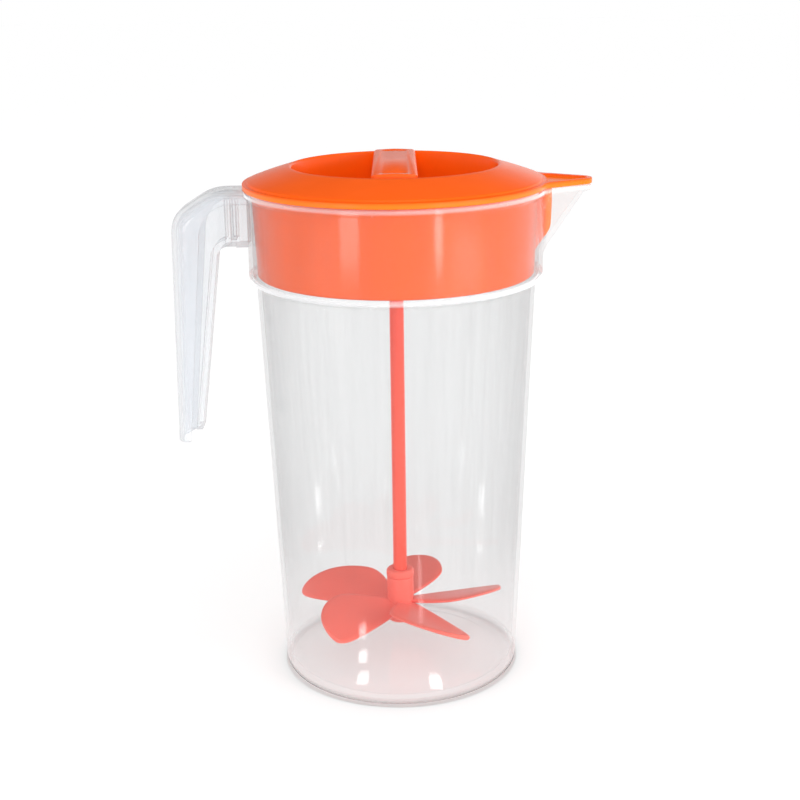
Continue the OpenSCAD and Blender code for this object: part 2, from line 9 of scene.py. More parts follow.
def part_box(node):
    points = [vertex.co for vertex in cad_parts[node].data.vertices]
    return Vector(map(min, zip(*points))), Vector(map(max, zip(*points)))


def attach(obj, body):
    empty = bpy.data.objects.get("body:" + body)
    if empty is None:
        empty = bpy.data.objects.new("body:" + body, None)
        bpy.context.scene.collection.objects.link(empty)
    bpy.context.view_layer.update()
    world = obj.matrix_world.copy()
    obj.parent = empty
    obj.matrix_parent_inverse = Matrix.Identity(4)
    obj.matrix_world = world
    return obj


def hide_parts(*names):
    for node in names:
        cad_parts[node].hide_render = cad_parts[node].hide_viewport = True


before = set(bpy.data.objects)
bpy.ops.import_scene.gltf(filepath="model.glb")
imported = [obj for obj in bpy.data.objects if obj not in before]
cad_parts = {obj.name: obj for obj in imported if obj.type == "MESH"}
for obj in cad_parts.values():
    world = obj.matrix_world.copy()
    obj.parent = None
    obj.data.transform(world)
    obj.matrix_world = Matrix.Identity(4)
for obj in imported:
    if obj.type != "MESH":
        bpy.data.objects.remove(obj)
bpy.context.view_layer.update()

bl_info = {
    "name": "Mixing pitcher",
    "version": (1, 0, 0),
    "blender": (4, 5, 0),
    "location": "3D View > Sidebar > Pitcher",
    "description": "Dresses a packed mixing pitcher: clear jug, handle, lid, rod and rotor",
    "category": "Add Mesh",
}

BODY_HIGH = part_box("pitcher_body")[1]
HANDLE_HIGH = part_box("pitcher_handle")[1]
LID_LOW, LID_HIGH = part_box("lid")
ROTOR_LOW, ROTOR_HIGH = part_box("rotor")
MM = 0.001
WHITE = (1.0, 1.0, 1.0, 1.0)
SATIN = {"rough": 0.34, "peel": 0.08}


# Properties

def length(name, description, default):
    """A size in metres, shown in the scene's length unit."""
    return FloatProperty(name=name, description=description, default=default, unit="LENGTH", precision=4)


def share(name, description, default):
    """A plain factor, shown as a number."""
    return FloatProperty(name=name, description=description, default=default, precision=3)


def turn(name, description, degrees):
    """An angle, given in degrees and stored in radians."""
    return FloatProperty(name=name, description=description, default=math.radians(degrees), unit="ROTATION")


def colour(name, description, default):
    """A linear colour."""
    return FloatVectorProperty(name=name, description=description, default=default, subtype="COLOR",
                               size=3, min=0, max=1)


class JugSizes(bpy.types.PropertyGroup):
    """Sizes of the clear jug and its spout."""
    rim_top: length("Rim", "Height of the rim's top face", BODY_HIGH.z)
    foot_r: length("Foot radius", "Outer radius of the wall at the foot", 54.5 * MM)
    neck_r: length("Neck radius", "Outer radius of the wall under the collar", 61.7 * MM)
    collar_r: length("Collar radius", "Outer radius of the straight collar", 65.1 * MM)
    collar_z: length("Collar", "Height at which the collar starts", 185 * MM)
    step_h: length("Step", "Height of the slope from the wall to the collar", 5.5 * MM)
    wall: length("Wall", "Thickness of the jug's wall", 1.8 * MM)
    floor_t: length("Floor", "Thickness of the jug's floor", 2.4 * MM)
    foot_round: length("Foot round", "Radius of the rounded foot edge", 3 * MM)
    foot_ring: length("Foot ring", "Width of the ring that the jug stands on", 4 * MM)
    foot_recess: length("Foot recess", "Depth of the recess inside the foot ring", 1.2 * MM)
    floor_round: length("Floor round", "Radius between wall and floor inside", 4 * MM)
    lip_r: length("Lip radius", "Outer radius of the rim lip", BODY_HIGH.y)
    lip_h: length("Lip height", "Height of the rim lip", 2.4 * MM)
    rim_round: length("Rim round", "Rounding of the rim's edges", 0.6 * MM)
    spout_x: length("Spout root", "Distance of the spout's root from the jug's axis", 62 * MM)
    spout_w: length("Spout width", "Width of the spout at its root, at the rim", 30 * MM)
    spout_tip: length("Spout tip", "Radius of the spout's tip in plan", 5.4 * MM)
    spout_lip: length("Spout lip", "How far the rim lip stands out of the spout", 0.6 * MM)
    spout_h: length("Spout depth", "Depth of the spout below the rim", 35 * MM)
    spout_blend: length("Spout blend", "Radius of the blend between the rim and the spout", 10 * MM)
    spout_soft: length("Spout join", "Width of the soft join of spout and collar", 2.4 * MM)


class HandleSizes(bpy.types.PropertyGroup):
    """Sizes of the open-ended channel handle."""
    top_z: length("Top", "Height of the handle's top face", HANDLE_HIGH.z)
    run: length("Run", "Distance from the jug's axis where the top face bends down", 75 * MM)
    shoulder_r: length("Shoulder radius", "Radius of the first bend", 20 * MM)
    shoulder_a: turn("Shoulder slope", "Slope of the shoulder", 32)
    shoulder_len: length("Shoulder", "Length of the straight part of the shoulder", 7.8 * MM)
    elbow_r: length("Elbow radius", "Radius of the bend into the grip", 13 * MM)
    grip_lean: turn("Grip lean", "Outward lean of the grip", 1.1)
    grip_len: length("Grip length", "Length of the straight grip", 95.4 * MM)
    width_root: length("Root width", "Width of the handle at the collar", 30 * MM)
    width_elbow: length("Elbow width", "Width of the handle at the elbow", 25 * MM)
    width_end: length("End width", "Width of the handle at its free end", 22 * MM)
    skin: length("Skin", "Thickness of the channel's walls", 2.2 * MM)
    corner_w: length("Corner width", "Radius of the channel's corners across its width", 8 * MM)
    corner_d: length("Corner depth", "Largest depth of the channel's corners", 9 * MM)
    side_root: length("Root depth", "Depth of the side walls at the collar", 5.2 * MM)
    side_end: length("End depth", "Depth of the side walls at the free end", 6.2 * MM)
    side_run: length("Side run", "Distance from the axis where the side walls' edge bends down", 70.5 * MM)
    side_r: length("Side bend", "Radius of the bend of the side walls' edge", 15 * MM)
    web_t: length("Web", "Thickness of the middle web", 2.4 * MM)
    flange_w: length("Flange width", "Width of the inner flange", 12 * MM)
    flange_t: length("Flange", "Thickness of the inner flange", 2.8 * MM)
    flange_drop: length("Flange drop", "Depth of the flange below the top face", 24.8 * MM)
    finger_r: length("Finger bend", "Radius of the flange's bend into the grip", 5.2 * MM)
    grip_in_top: length("Inner top", "Distance of the finger side from the axis at the top", 78.8 * MM)
    grip_in_end: length("Inner end", "Distance of the finger side from the axis at the end", 89 * MM)
    flange_short: length("Flange stop", "How far the flange stops short of the free end", 4.5 * MM)
    rib_w: length("Rib", "Width of the cross rib", 15 * MM)
    rib_off: length("Rib place", "Distance of the cross rib beyond the side bend", 1.6 * MM)
    root_w: length("Root block", "Width of the root block on the collar", 16 * MM)
    root_t: length("Root depth", "Thickness of the root block", 4.6 * MM)
    edge: length("Edge round", "Rounding of the handle's edges", 0.45 * MM)


class LidSizes(bpy.types.PropertyGroup):
    """Sizes of the push-in lid."""
    seat_z: length("Seat", "Height of the flange's underside", 225 * MM)
    edge_r: length("Edge radius", "Outer radius of the lid's flange", LID_HIGH.y)
    flange_t: length("Flange", "Thickness of the flange", 2.5 * MM)
    skin: length("Skin", "Thickness of the lid's shell", 1.7 * MM)
    crown_z: length("Crown", "Height of the dish's rim", LID_HIGH.z)
    dish_r: length("Dish radius", "Radius of the dish at its rim", 45 * MM)
    dish_depth: length("Dish depth", "Depth of the dish", 21.4 * MM)
    dish_draft: turn("Dish draft", "Draft of the dish wall", 8)
    dish_round: length("Dish round", "Radius between the dish's wall and floor", 8 * MM)
    dish_lip: length("Dish lip", "Radius of the dish's rim", 1.2 * MM)
    ledge: length("Ledge", "Width of the flat edge round the dome", 2.2 * MM)
    dome_step: length("Dome step", "Step from the flat edge up to the dome", 0.9 * MM)
    skirt_top_r: length("Skirt top", "Outer radius of the skirt at the flange", 62.9 * MM)
    skirt_low_r: length("Skirt end", "Outer radius of the skirt at its lower edge", 61.3 * MM)
    skirt_z: length("Skirt edge", "Height of the skirt's lower edge", LID_LOW.z)
    plug_reach: length("Plug reach", "Reach of the skirt's bulge into the spout", 68.6 * MM)
    plug_gap: length("Plug gap", "Gap between that bulge and the spout's wall", 0.5 * MM)
    tab_over: length("Tab reach", "How far the tab stands out over the spout's lip", 0.4 * MM)
    tab_edge: length("Tab edge", "Width of the tab's raised edge", 2.2 * MM)
    tab_sink: length("Tab sink", "Depth of the tab's sunk middle", 1.2 * MM)
    boss_r: length("Boss radius", "Outer radius of the guide boss", 9 * MM)
    boss_low: length("Boss foot", "Height of the guide boss's lower end", 201 * MM)
    boss_rise: length("Boss rise", "Height of the guide boss above the dish's floor", 1 * MM)
    guide_r: length("Guide radius", "Radius of the hole that the bush turns in", 5.48 * MM)
    edge_round: length("Edge round", "Rounding of the small edges", 0.4 * MM)


class RotorSizes(bpy.types.PropertyGroup):
    """Sizes of the rotor and its pitched blades."""
    top_z: length("Boss top", "Height of the boss's top", ROTOR_HIGH.z)
    low_z: length("Boss foot", "Height of the boss's lower end", ROTOR_LOW.z)
    boss_r: length("Boss radius", "Radius of the boss", 6.3 * MM)
    nose_r: length("Nose", "Radius of the boss's lower end", 1.5 * MM)
    blades: IntProperty(name="Blades", description="Number of blades", default=5, min=1)
    first: turn("First blade", "Turn of the first blade from the spout", 17)
    tip_r: length("Tip radius", "Radius of the blades' tips", 50 * MM)
    blade_z: length("Blade height", "Height of the blades' middle line", 26.6 * MM)
    wide: length("Broad side", "Width of a blade on its raised side", 21 * MM)
    narrow: length("Narrow side", "Width of a blade on its lowered side", 6.4 * MM)
    root: length("Root", "Half width of a blade at the boss", 5 * MM)
    sink: length("Root sink", "How far a blade reaches into the boss", 2 * MM)
    peak: share("Widest at", "Share of the span at which a blade is widest", 0.42)
    blunt: share("Tip squareness", "Squareness of the tip's narrow side, 2 is an ellipse", 4)
    pitch_root: turn("Root pitch", "Pitch of a blade at the boss", 13)
    pitch_tip: turn("Tip pitch", "Pitch of a blade at the tip", 21)
    thick: length("Thickness", "Thickness of a blade", 2 * MM)


class PitcherFinish(bpy.types.PropertyGroup):
    """Colours and finishes of the mouldings."""
    lid: colour("Lid", "Orange of the lid", (0.98, 0.114, 0.003))
    # Painted glow on the lid's flange edge: a lighter orange that stands in for light shining through it.
    painted_glow: colour("Thin edge", "Orange of the lid's thin edge", (0.98, 0.175, 0.004))
    bar: colour("Bar", "Orange of the grip bar", (0.98, 0.115, 0.010))
    rod: colour("Rod", "Orange of the rod", (0.98, 0.090, 0.048))
    rotor: colour("Rotor", "Orange of the rotor and its collar", (0.98, 0.150, 0.105))
    bush: colour("Bush", "Natural colour of the bush", (0.80, 0.78, 0.72))
    jug: colour("Jug", "Colour that one face of the jug's wall lets through", (0.945, 0.947, 0.948))
    handle: colour("Handle", "Colour that one face of the handle lets through", (0.935, 0.946, 0.957))
    milk: colour("Haze", "Colour of the clear plastic's haze", (0.95, 0.96, 0.98))
    jug_haze: share("Jug haze", "Haze of one face of the jug's wall, seen square on", 0.010)
    thick_haze: share("Thick haze", "Haze of one face where the jug is thick", 0.16)
    neck_haze: share("Neck haze", "Haze of one face at the step under the collar", 0.176)
    foot_haze: share("Foot haze", "Haze of one face round the jug's foot", 0.12)
    # Painted light: the tint fades towards the floor so that the shade inside the lower jug reads lighter.
    fade: length("Fade", "Height over which the jug's tint fades towards its floor", 60 * MM)
    low_tint: share("Low tint", "Light that one face of the jug lets through at its floor", 0.985)
    spout_tint: share("Spout tint", "Light that one face of the spout lets through", 0.975)
    handle_haze: share("Handle haze", "Haze of one face of the handle, seen square on", 0.16)


class StageSettings(bpy.types.PropertyGroup):
    """Camera and light of the studio."""
    camera_place: FloatVectorProperty(name="Camera", description="Place of the camera", unit="LENGTH",
                                      default=(0.0010, -0.6376, 0.3185), size=3)
    camera_tilt: turn("Tilt", "Downward tilt of the camera", 16.749)
    camera_roll: turn("Roll", "Roll of the camera", -0.7817)
    view_angle: turn("View angle", "Angle that the picture takes in", 30.745)
    key_power: FloatProperty(name="Key", description="Power of the key light", default=8.0, unit="POWER")
    fill_power: FloatProperty(name="Fill", description="Power of the fill light", default=3.0, unit="POWER")
    front: share("Front", "Strength of the soft light from above the camera", 0.7)
    front_spread: turn("Front spread", "Angle that the front light spreads over", 40)
    front_tilt: turn("Front tilt", "Tilt of the front light from straight down", 42)
    strip: share("Strips", "Brightness of the strip lamps that only gloss shows", 3.0)
    sky: share("Sky", "Strength of the even studio light near the floor", 1.10)
    zenith: share("Zenith", "How much weaker the even studio light is from straight above", 0.4)
    ceiling: share("Ceiling", "Strength of the dark ceiling that gloss shows", 0.10)
    left_dark: share("Left", "How much darker gloss shows the left side", 0.6)
    flag: length("Foot flag", "Height of the dark ring that gives the foot its shadow", 4 * MM)
    floor_glow: share("Floor glow", "Share of the floor's white that shadows leave", 0.38)
    floor_white: share("Floor white", "Strength of the white that shadows leave", 1.26)


class PitcherSettings(bpy.types.PropertyGroup):
    """All settings of the pitcher."""
    jug: PointerProperty(type=JugSizes)
    handle: PointerProperty(type=HandleSizes)
    lid: PointerProperty(type=LidSizes)
    rotor: PointerProperty(type=RotorSizes)
    finish: PointerProperty(type=PitcherFinish)
    stage: PointerProperty(type=StageSettings)


# Node trees

class Wire:
    """A socket of a node tree that takes part in Python sums."""

    def __init__(self, tree, socket):
        self.tree = tree
        self.socket = socket

    def sum(self, operation, *terms):
        """Adds a Math node on those terms."""
        node = self.tree.nodes.new("ShaderNodeMath")
        node.operation = operation
        for slot, term in zip(node.inputs, terms):
            plug(self.tree, slot, term)
        return Wire(self.tree, node.outputs[0])

    def __add__(self, other):
        return self.sum("ADD", self, other)

    def __sub__(self, other):
        return self.sum("SUBTRACT", self, other)

    def __mul__(self, other):
        return self.sum("MULTIPLY", self, other)

    def __truediv__(self, other):
        return self.sum("DIVIDE", self, other)

    def __pow__(self, other):
        return self.sum("POWER", self, other)

    def __radd__(self, other):
        return self.sum("ADD", other, self)

    def __rsub__(self, other):
        return self.sum("SUBTRACT", other, self)

    def __rmul__(self, other):
        return self.sum("MULTIPLY", other, self)

    def __rtruediv__(self, other):
        return self.sum("DIVIDE", other, self)

    def __abs__(self):
        return self.sum("ABSOLUTE", self)

    def least(self, other):
        return self.sum("MINIMUM", self, other)

    def most(self, other):
        return self.sum("MAXIMUM", self, other)

    def held(self):
        """The value, kept between 0 and 1."""
        return self.least(1).most(0)

    def sine(self):
        return self.sum("SINE", self)

    def cosine(self):
        return self.sum("COSINE", self)

    def root(self):
        return self.sum("SQRT", self)


def plug(tree, slot, term):
    """Links a wire to an input, or sets the input to a plain value."""
    if isinstance(term, Wire):
        tree.links.new(term.socket, slot)
    else:
        slot.default_value = term


class Board:
    """A node tree that is filled from Python."""

    def __init__(self, tree):
        self.tree = tree
        self.tree.nodes.clear()

    def add(self, kind, settings=None, inputs=None, output=0):
        """Adds a node of that kind, sets it, feeds its inputs and returns one of its outputs."""
        node = self.tree.nodes.new(kind)
        for key, value in (settings or {}).items():
            setattr(node, key, value)
        for key, term in (inputs or {}).items():
            plug(self.tree, node.inputs[key], term)
        return Wire(self.tree, node.outputs[output]) if len(node.outputs) else None

    def other(self, wire, output):
        """Another output of the node that a wire comes from."""
        return Wire(self.tree, wire.socket.node.outputs[output])

    def blend(self, factor, first, second):
        """Mixes two colours, by the Mix node's own sockets for colours."""
        return self.add("ShaderNodeMix", {"data_type": "RGBA"}, {0: factor, 6: first, 7: second}, output=2)

    def noise(self, place, scale, detail, **more):
        """A noise pattern over a place."""
        return self.add("ShaderNodeTexNoise", inputs={
            "Vector": place, "Scale": scale, "Detail": detail, **more})

    def matte(self, paint, rough):
        """A dull surface without gloss."""
        return self.add("ShaderNodeBsdfPrincipled", inputs={
            "Base Color": paint, "Roughness": rough, "Specular IOR Level": 0.0})


def new_material(name):
    """A material with an empty node tree."""
    made = bpy.data.materials.new(name)
    made.use_nodes = True
    return made, Board(made.node_tree)


def shade(rgb, factor):
    """A colour made darker or lighter, with an alpha of one."""
    return tuple(min(c * factor, 1.0) for c in rgb) + (1.0,)


def grey(level):
    """A grey with an alpha of one."""
    return (level, level, level, 1.0)


# Finishes

def moulded_gloss(name, rgb, rough, peel, painted_glow=None):
    """Coloured gloss plastic: faint flow marks, uneven gloss and a fine peel in its skin.

    Painted glow is the height, the radius and the colour of a lighter, yellower band painted on the outer
    edge below that height, standing in for light that shines through the thin plastic.
    """
    made, board = new_material(name)
    place = board.add("ShaderNodeTexCoord", output="Object")
    flow = board.noise(place, 45.0, 5.0, Roughness=0.6, Distortion=1.2)
    smudge = board.noise(place, 26.0, 3.0)
    grain = board.noise(place, 900.0, 2.0)
    wave = board.noise(place, 70.0, 1.0)
    paint = board.blend(flow, shade(rgb, 0.93), shade(rgb, 1.06))
    # Painted glow: the edge band is painted lighter and yellower, in place of light shining through the thin
    # plastic.
    if painted_glow:
        low, start, lit = painted_glow
        spot = board.add("ShaderNodeSeparateXYZ", inputs={0: place})
        radius = (spot ** 2 + board.other(spot, "Y") ** 2).root()
        edge = ((radius - start) / MM).least(1 - (board.other(spot, "Z") - low) / MM).held()
        paint = board.blend(edge, paint, shade(lit, 1.0))
    bump = board.add("ShaderNodeBump", inputs={"Strength": peel, "Distance": 0.0006,
                                               "Height": wave + 0.08 * grain})
    skin = board.add("ShaderNodeBsdfPrincipled", inputs={
        "Base Color": paint, "Roughness": rough + 0.14 * (smudge - 0.5), "IOR": 1.36, "Normal": bump})
    board.add("ShaderNodeOutputMaterial", inputs={"Surface": skin})
    return made


def clear_moulding(name, rgb, milk_rgb, haze, bands=(), plain=None, edge=0.86, slant=0.12):
    """Clear plastic: each face lets most light through, with gloss, a little haze and upright flow marks.

    A band is a middle height, half its depth, the radius where it starts and the haze that it adds.
    Plain is a height below which the tint fades, the depth over which it does and the light that one face
    lets through there, then a radius and the light that one face lets through beyond it. The fade is painted
    light: the wall clears towards its floor so that the shade inside the lower jug reads lighter. Edge is how
    much darker the plastic is edge-on, and slant the least share that a slanting view divides its haze by.
    """
    made, board = new_material(name)
    place = board.add("ShaderNodeTexCoord", output="Object")
    height = board.add("ShaderNodeSeparateXYZ", inputs={0: place}, output="Z")
    radius = (board.other(height, "X") ** 2 + board.other(height, "Y") ** 2).root()
    upright = (1.0, 1.0, 0.03)
    across = board.add("ShaderNodeVectorMath", {"operation": "MULTIPLY"}, {0: place, 1: upright})
    streak = board.noise(across, 240.0, 4.0, Roughness=0.6)
    smudge = board.noise(place, 18.0, 3.0)
    ripple = board.noise(across, 60.0, 1.0)
    bump = board.add("ShaderNodeBump", inputs={"Strength": 0.12, "Distance": 0.0008, "Height": ripple})
    edge_on = board.add("ShaderNodeLayerWeight", inputs={"Blend": 0.5, "Normal": bump}, output="Facing")
    square_on, rim = 0.022, 0.5
    gloss = square_on + rim * edge_on ** 5
    fog = haze * (0.55 + 0.9 * streak)
    for middle, half, start, extra in bands:
        inside = (1.5 - abs(height - middle) / half).least((radius - start) / half).held()
        fog = fog + extra * inside
    fog = fog / (1 - edge_on).most(slant)

    def clear(tint):
        return board.add("ShaderNodeBsdfTransparent", inputs={"Color": tint})

    through = board.add("ShaderNodeMixShader", inputs={
        0: (edge_on ** 2 + 0.6 * (streak - 0.5)).held(),
        1: clear(shade(rgb, 1.0)), 2: clear(shade(rgb, edge))})
    if plain:
        top, depth, low_light, outer, far_light = plain
        # The first mix is painted light: the wall clears towards the floor to lift the shade inside the lower
        # jug.
        for part, light in (((top - height) / depth, low_light), ((radius - outer) / MM, far_light)):
            through = board.add("ShaderNodeMixShader", inputs={
                0: part.held(), 1: through, 2: clear(grey(light))})
    milk = board.matte(board.blend(smudge, shade(milk_rgb, 0.97), shade(milk_rgb, 1.03)), 0.6)
    shine = board.add("ShaderNodeBsdfAnisotropic", inputs={
        "Color": WHITE, "Roughness": 0.06 + 0.10 * smudge, "Normal": bump})
    wall = board.add("ShaderNodeMixShader", inputs={0: fog.least(0.9), 1: through, 2: milk})
    skin = board.add("ShaderNodeMixShader", inputs={0: gloss.least(0.95), 1: wall, 2: shine})
    board.add("ShaderNodeOutputMaterial", inputs={"Surface": skin})
    return made


# Shapes

def arc(cx, cz, r, start, end, steps):
    """Points of a round stretch, with its angles in degrees."""
    angles = [math.radians(start + (end - start) * i / steps) for i in range(steps + 1)]
    return [(cx + r * math.cos(a), cz + r * math.sin(a)) for a in angles]


def between(a, b, steps):
    """Points that part a straight stretch evenly, without its two ends."""
    return [tuple(p + (q - p) * i / steps for p, q in zip(a, b)) for i in range(1, steps)]


def mix(a, b, t):
    """The value at a share of the way from one to another."""
    return a + (b - a) * t


def soft_step(t):
    """A share that starts and ends gently."""
    t = min(max(t, 0.0), 1.0)
    return t * t * (3 - 2 * t)


def soft_max(a, b, width):
    """The larger of two values, with a rounded change-over of that width."""
    h = max(width - abs(a - b), 0.0) / width
    return max(a, b) + h * h * width / 4


def soft_min(a, b, width):
    """The smaller of two values, with a rounded change-over of that width."""
    return -soft_max(-a, -b, width)


def far_side(angle, centre, radius):
    """Distance from the axis to the far side of a circle that stands off along X, or 0 beside it."""
    rest = radius ** 2 - (centre * math.sin(angle)) ** 2
    if radius <= 0 or rest <= 0 or math.cos(angle) <= 0:
        return 0.0
    return centre * math.cos(angle) + math.sqrt(rest)


def even_angles(count):
    """Angles of a full turn, evenly apart."""
    return [math.radians(360 * i / count) for i in range(count)]


def spout_angles(fine_to=24, fine=0.4, coarse=2.4):
    """Angles of a full turn, closer together round the spout, from steps given in degrees."""
    angles = [fine_to - i * fine for i in range(int(2 * fine_to / fine))]
    rest = 360 - 2 * fine_to
    count = int(rest / coarse)
    angles += [-fine_to - rest * i / count for i in range(count)]
    return [math.radians(a) for a in reversed(angles)]


def polar_mesh(name, angles, outline, closed):
    """A closed solid round the Z axis whose outline of (radius, height) points may change with the angle."""
    bm = bmesh.new()
    poles = {}
    columns = []
    for angle in angles:
        column = []
        for j, (r, z) in enumerate(outline(angle)):
            if r < 1e-7:
                poles[j] = poles.get(j) or bm.verts.new((0, 0, z))
                column.append(poles[j])
            else:
                column.append(bm.verts.new((r * math.cos(angle), r * math.sin(angle), z)))
        columns.append(column)
    count = len(columns[0])
    for here, ahead in zip(columns, columns[1:] + columns[:1]):
        for j in range(count if closed else count - 1):
            k = (j + 1) % count
            corners = [here[j], ahead[j], ahead[k], here[k]]
            bm.faces.new(dict.fromkeys(corners))
    return finished_object(name, bm)


def finished_object(name, bm):
    """A new object of a mesh, at the origin, with smooth faces and sharp folds."""
    if bm.calc_volume(signed=True) < 0:
        bmesh.ops.reverse_faces(bm, faces=bm.faces)
    mesh = bpy.data.meshes.new(name)
    bm.to_mesh(mesh)
    bm.free()
    made = add_object(name, mesh)
    smooth(made)
    return made


def add_object(name, data):
    """A new object in the scene."""
    made = bpy.data.objects.new(name, data)
    bpy.context.scene.collection.objects.link(made)
    return made


def smooth(made, angle=32):
    """Shades a mesh smooth, but for folds sharper than an angle in degrees."""
    made.data.shade_smooth()
    made.data.set_sharp_from_angle(angle=math.radians(angle))


def slab(points, thick):
    """A flat outline in the handle's middle plane, as a solid of that thickness."""
    bm = bmesh.new()
    rows = [[bm.verts.new((-x, y, z)) for x, z in points] for y in (-thick / 2, thick / 2)]
    bm.faces.new(rows[0])
    bm.faces.new(rows[1][::-1])
    for j in range(len(points)):
        k = (j + 1) % len(points)
        bm.faces.new((rows[0][k], rows[0][j], rows[1][j], rows[1][k]))
    bmesh.ops.recalc_face_normals(bm, faces=bm.faces)
    return finished_object("slab", bm)


def block(x0, x1, z0, z1):
    """Corners of an upright rectangle."""
    return [(x0, z0), (x1, z0), (x1, z1), (x0, z1)]


def baked(made):
    """Turns an object with modifiers into a plain mesh."""
    graph = bpy.context.evaluated_depsgraph_get()
    mesh = bpy.data.meshes.new_from_object(made.evaluated_get(graph))
    made.modifiers.clear()
    old, made.data = made.data, mesh
    mesh.name = made.name
    bpy.data.meshes.remove(old)
    return made


def combine(made, other, operation):
    """Adds or cuts a second solid, which is used up."""
    step = made.modifiers.new("join", "BOOLEAN")
    step.operation = operation
    step.solver = "EXACT"
    step.object = other
    baked(made)
    bpy.data.objects.remove(other)
    return made


def round_edges(made, width, angle=34, segments=2):
    """Rounds the folds of a solid that are sharper than an angle in degrees."""
    step = made.modifiers.new("edges", "BEVEL")
    step.width = width
    step.segments = segments
    step.limit_method = "ANGLE"
    step.angle_limit = math.radians(angle)
    step.use_clamp_overlap = True
    baked(made)
    smooth(made)
    return made


def dressed_copy(node, name, edge):
    """A merged copy of a CAD node with its flat faces joined and its edges rounded."""
    bm = bmesh.new()
    bm.from_mesh(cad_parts[node].data)
    bmesh.ops.remove_doubles(bm, verts=bm.verts, dist=2e-6)
    bmesh.ops.dissolve_limit(bm, angle_limit=math.radians(0.5), verts=bm.verts, edges=bm.edges)
    made = finished_object(name, bm)
    return round_edges(made, edge)


def settle(made, body, slot, finish, *nodes):
    """Gives a piece its finish and its body, and hides the CAD nodes that it stands for."""
    made.data.materials.clear()
    made.data.materials.append(finish)
    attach(made, body)
    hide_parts(*nodes)


class SpoutBeak:
    """The spout's beak: a rounded V in plan at the rim that runs down to a point beside the jug's axis."""

    def __init__(self, jug, rim_z):
        self.x = jug.spout_x
        self.root_r = jug.spout_w / 2
        self.tip_r = jug.spout_tip
        self.run = BODY_HIGH.x - jug.spout_lip - jug.spout_tip - jug.spout_x
        self.h = jug.spout_h
        self.blend = jug.spout_blend
        self.rim_z = rim_z
        self.skin = math.hypot(1, self.root_r / self.h)

    def plan(self, angle, inset, size=1.0):
        """Distance from the jug's axis to the far side of the beak's plan, drawn in and shrunk to a size."""
        angle = abs(angle)
        root, tip = self.root_r - inset, max(self.tip_r - inset, 0.01 * MM)
        lean = math.acos((root - tip) / self.run)
        tip_x = self.x + self.run * size
        reach = max(far_side(angle, self.x, root * size), far_side(angle, tip_x, tip * size))
        if angle < lean:
            side = (self.x * math.cos(lean) + root * size) / math.cos(lean - angle)
            if self.x <= side * math.sin(lean - angle) / math.sin(lean) <= tip_x:
                reach = max(reach, side)
        return reach

    def reach(self, angle, z, inset):
        """Distance from the jug's axis to the beak's far side at a height, with its wall thinned by inset."""
        level = inset * self.skin
        depth = self.h * (1 - level / self.root_r)
        size = 1 + (z - self.rim_z) / depth
        return self.plan(angle, level, size) if size > 0 else 0.0

    def edge(self, angle, r, grow):
        """Distance from the axis to the edge of a round rim with the beak and its hollow blends."""
        angle = abs(angle)
        far, near = r + self.blend, self.root_r + grow + self.blend
        x = (self.x ** 2 + far ** 2 - near ** 2) / (2 * self.x)
        y = math.sqrt(far ** 2 - x ** 2)
        along = (self.root_r + grow) / near
        off = angle - math.atan2(y, x)
        if off < 0 and angle > math.atan2(y * along, mix(self.x, x, along)):
            return far * math.cos(off) - math.sqrt(self.blend ** 2 - (far * math.sin(off)) ** 2)
        return max(r, self.plan(angle, -grow))


# Operators

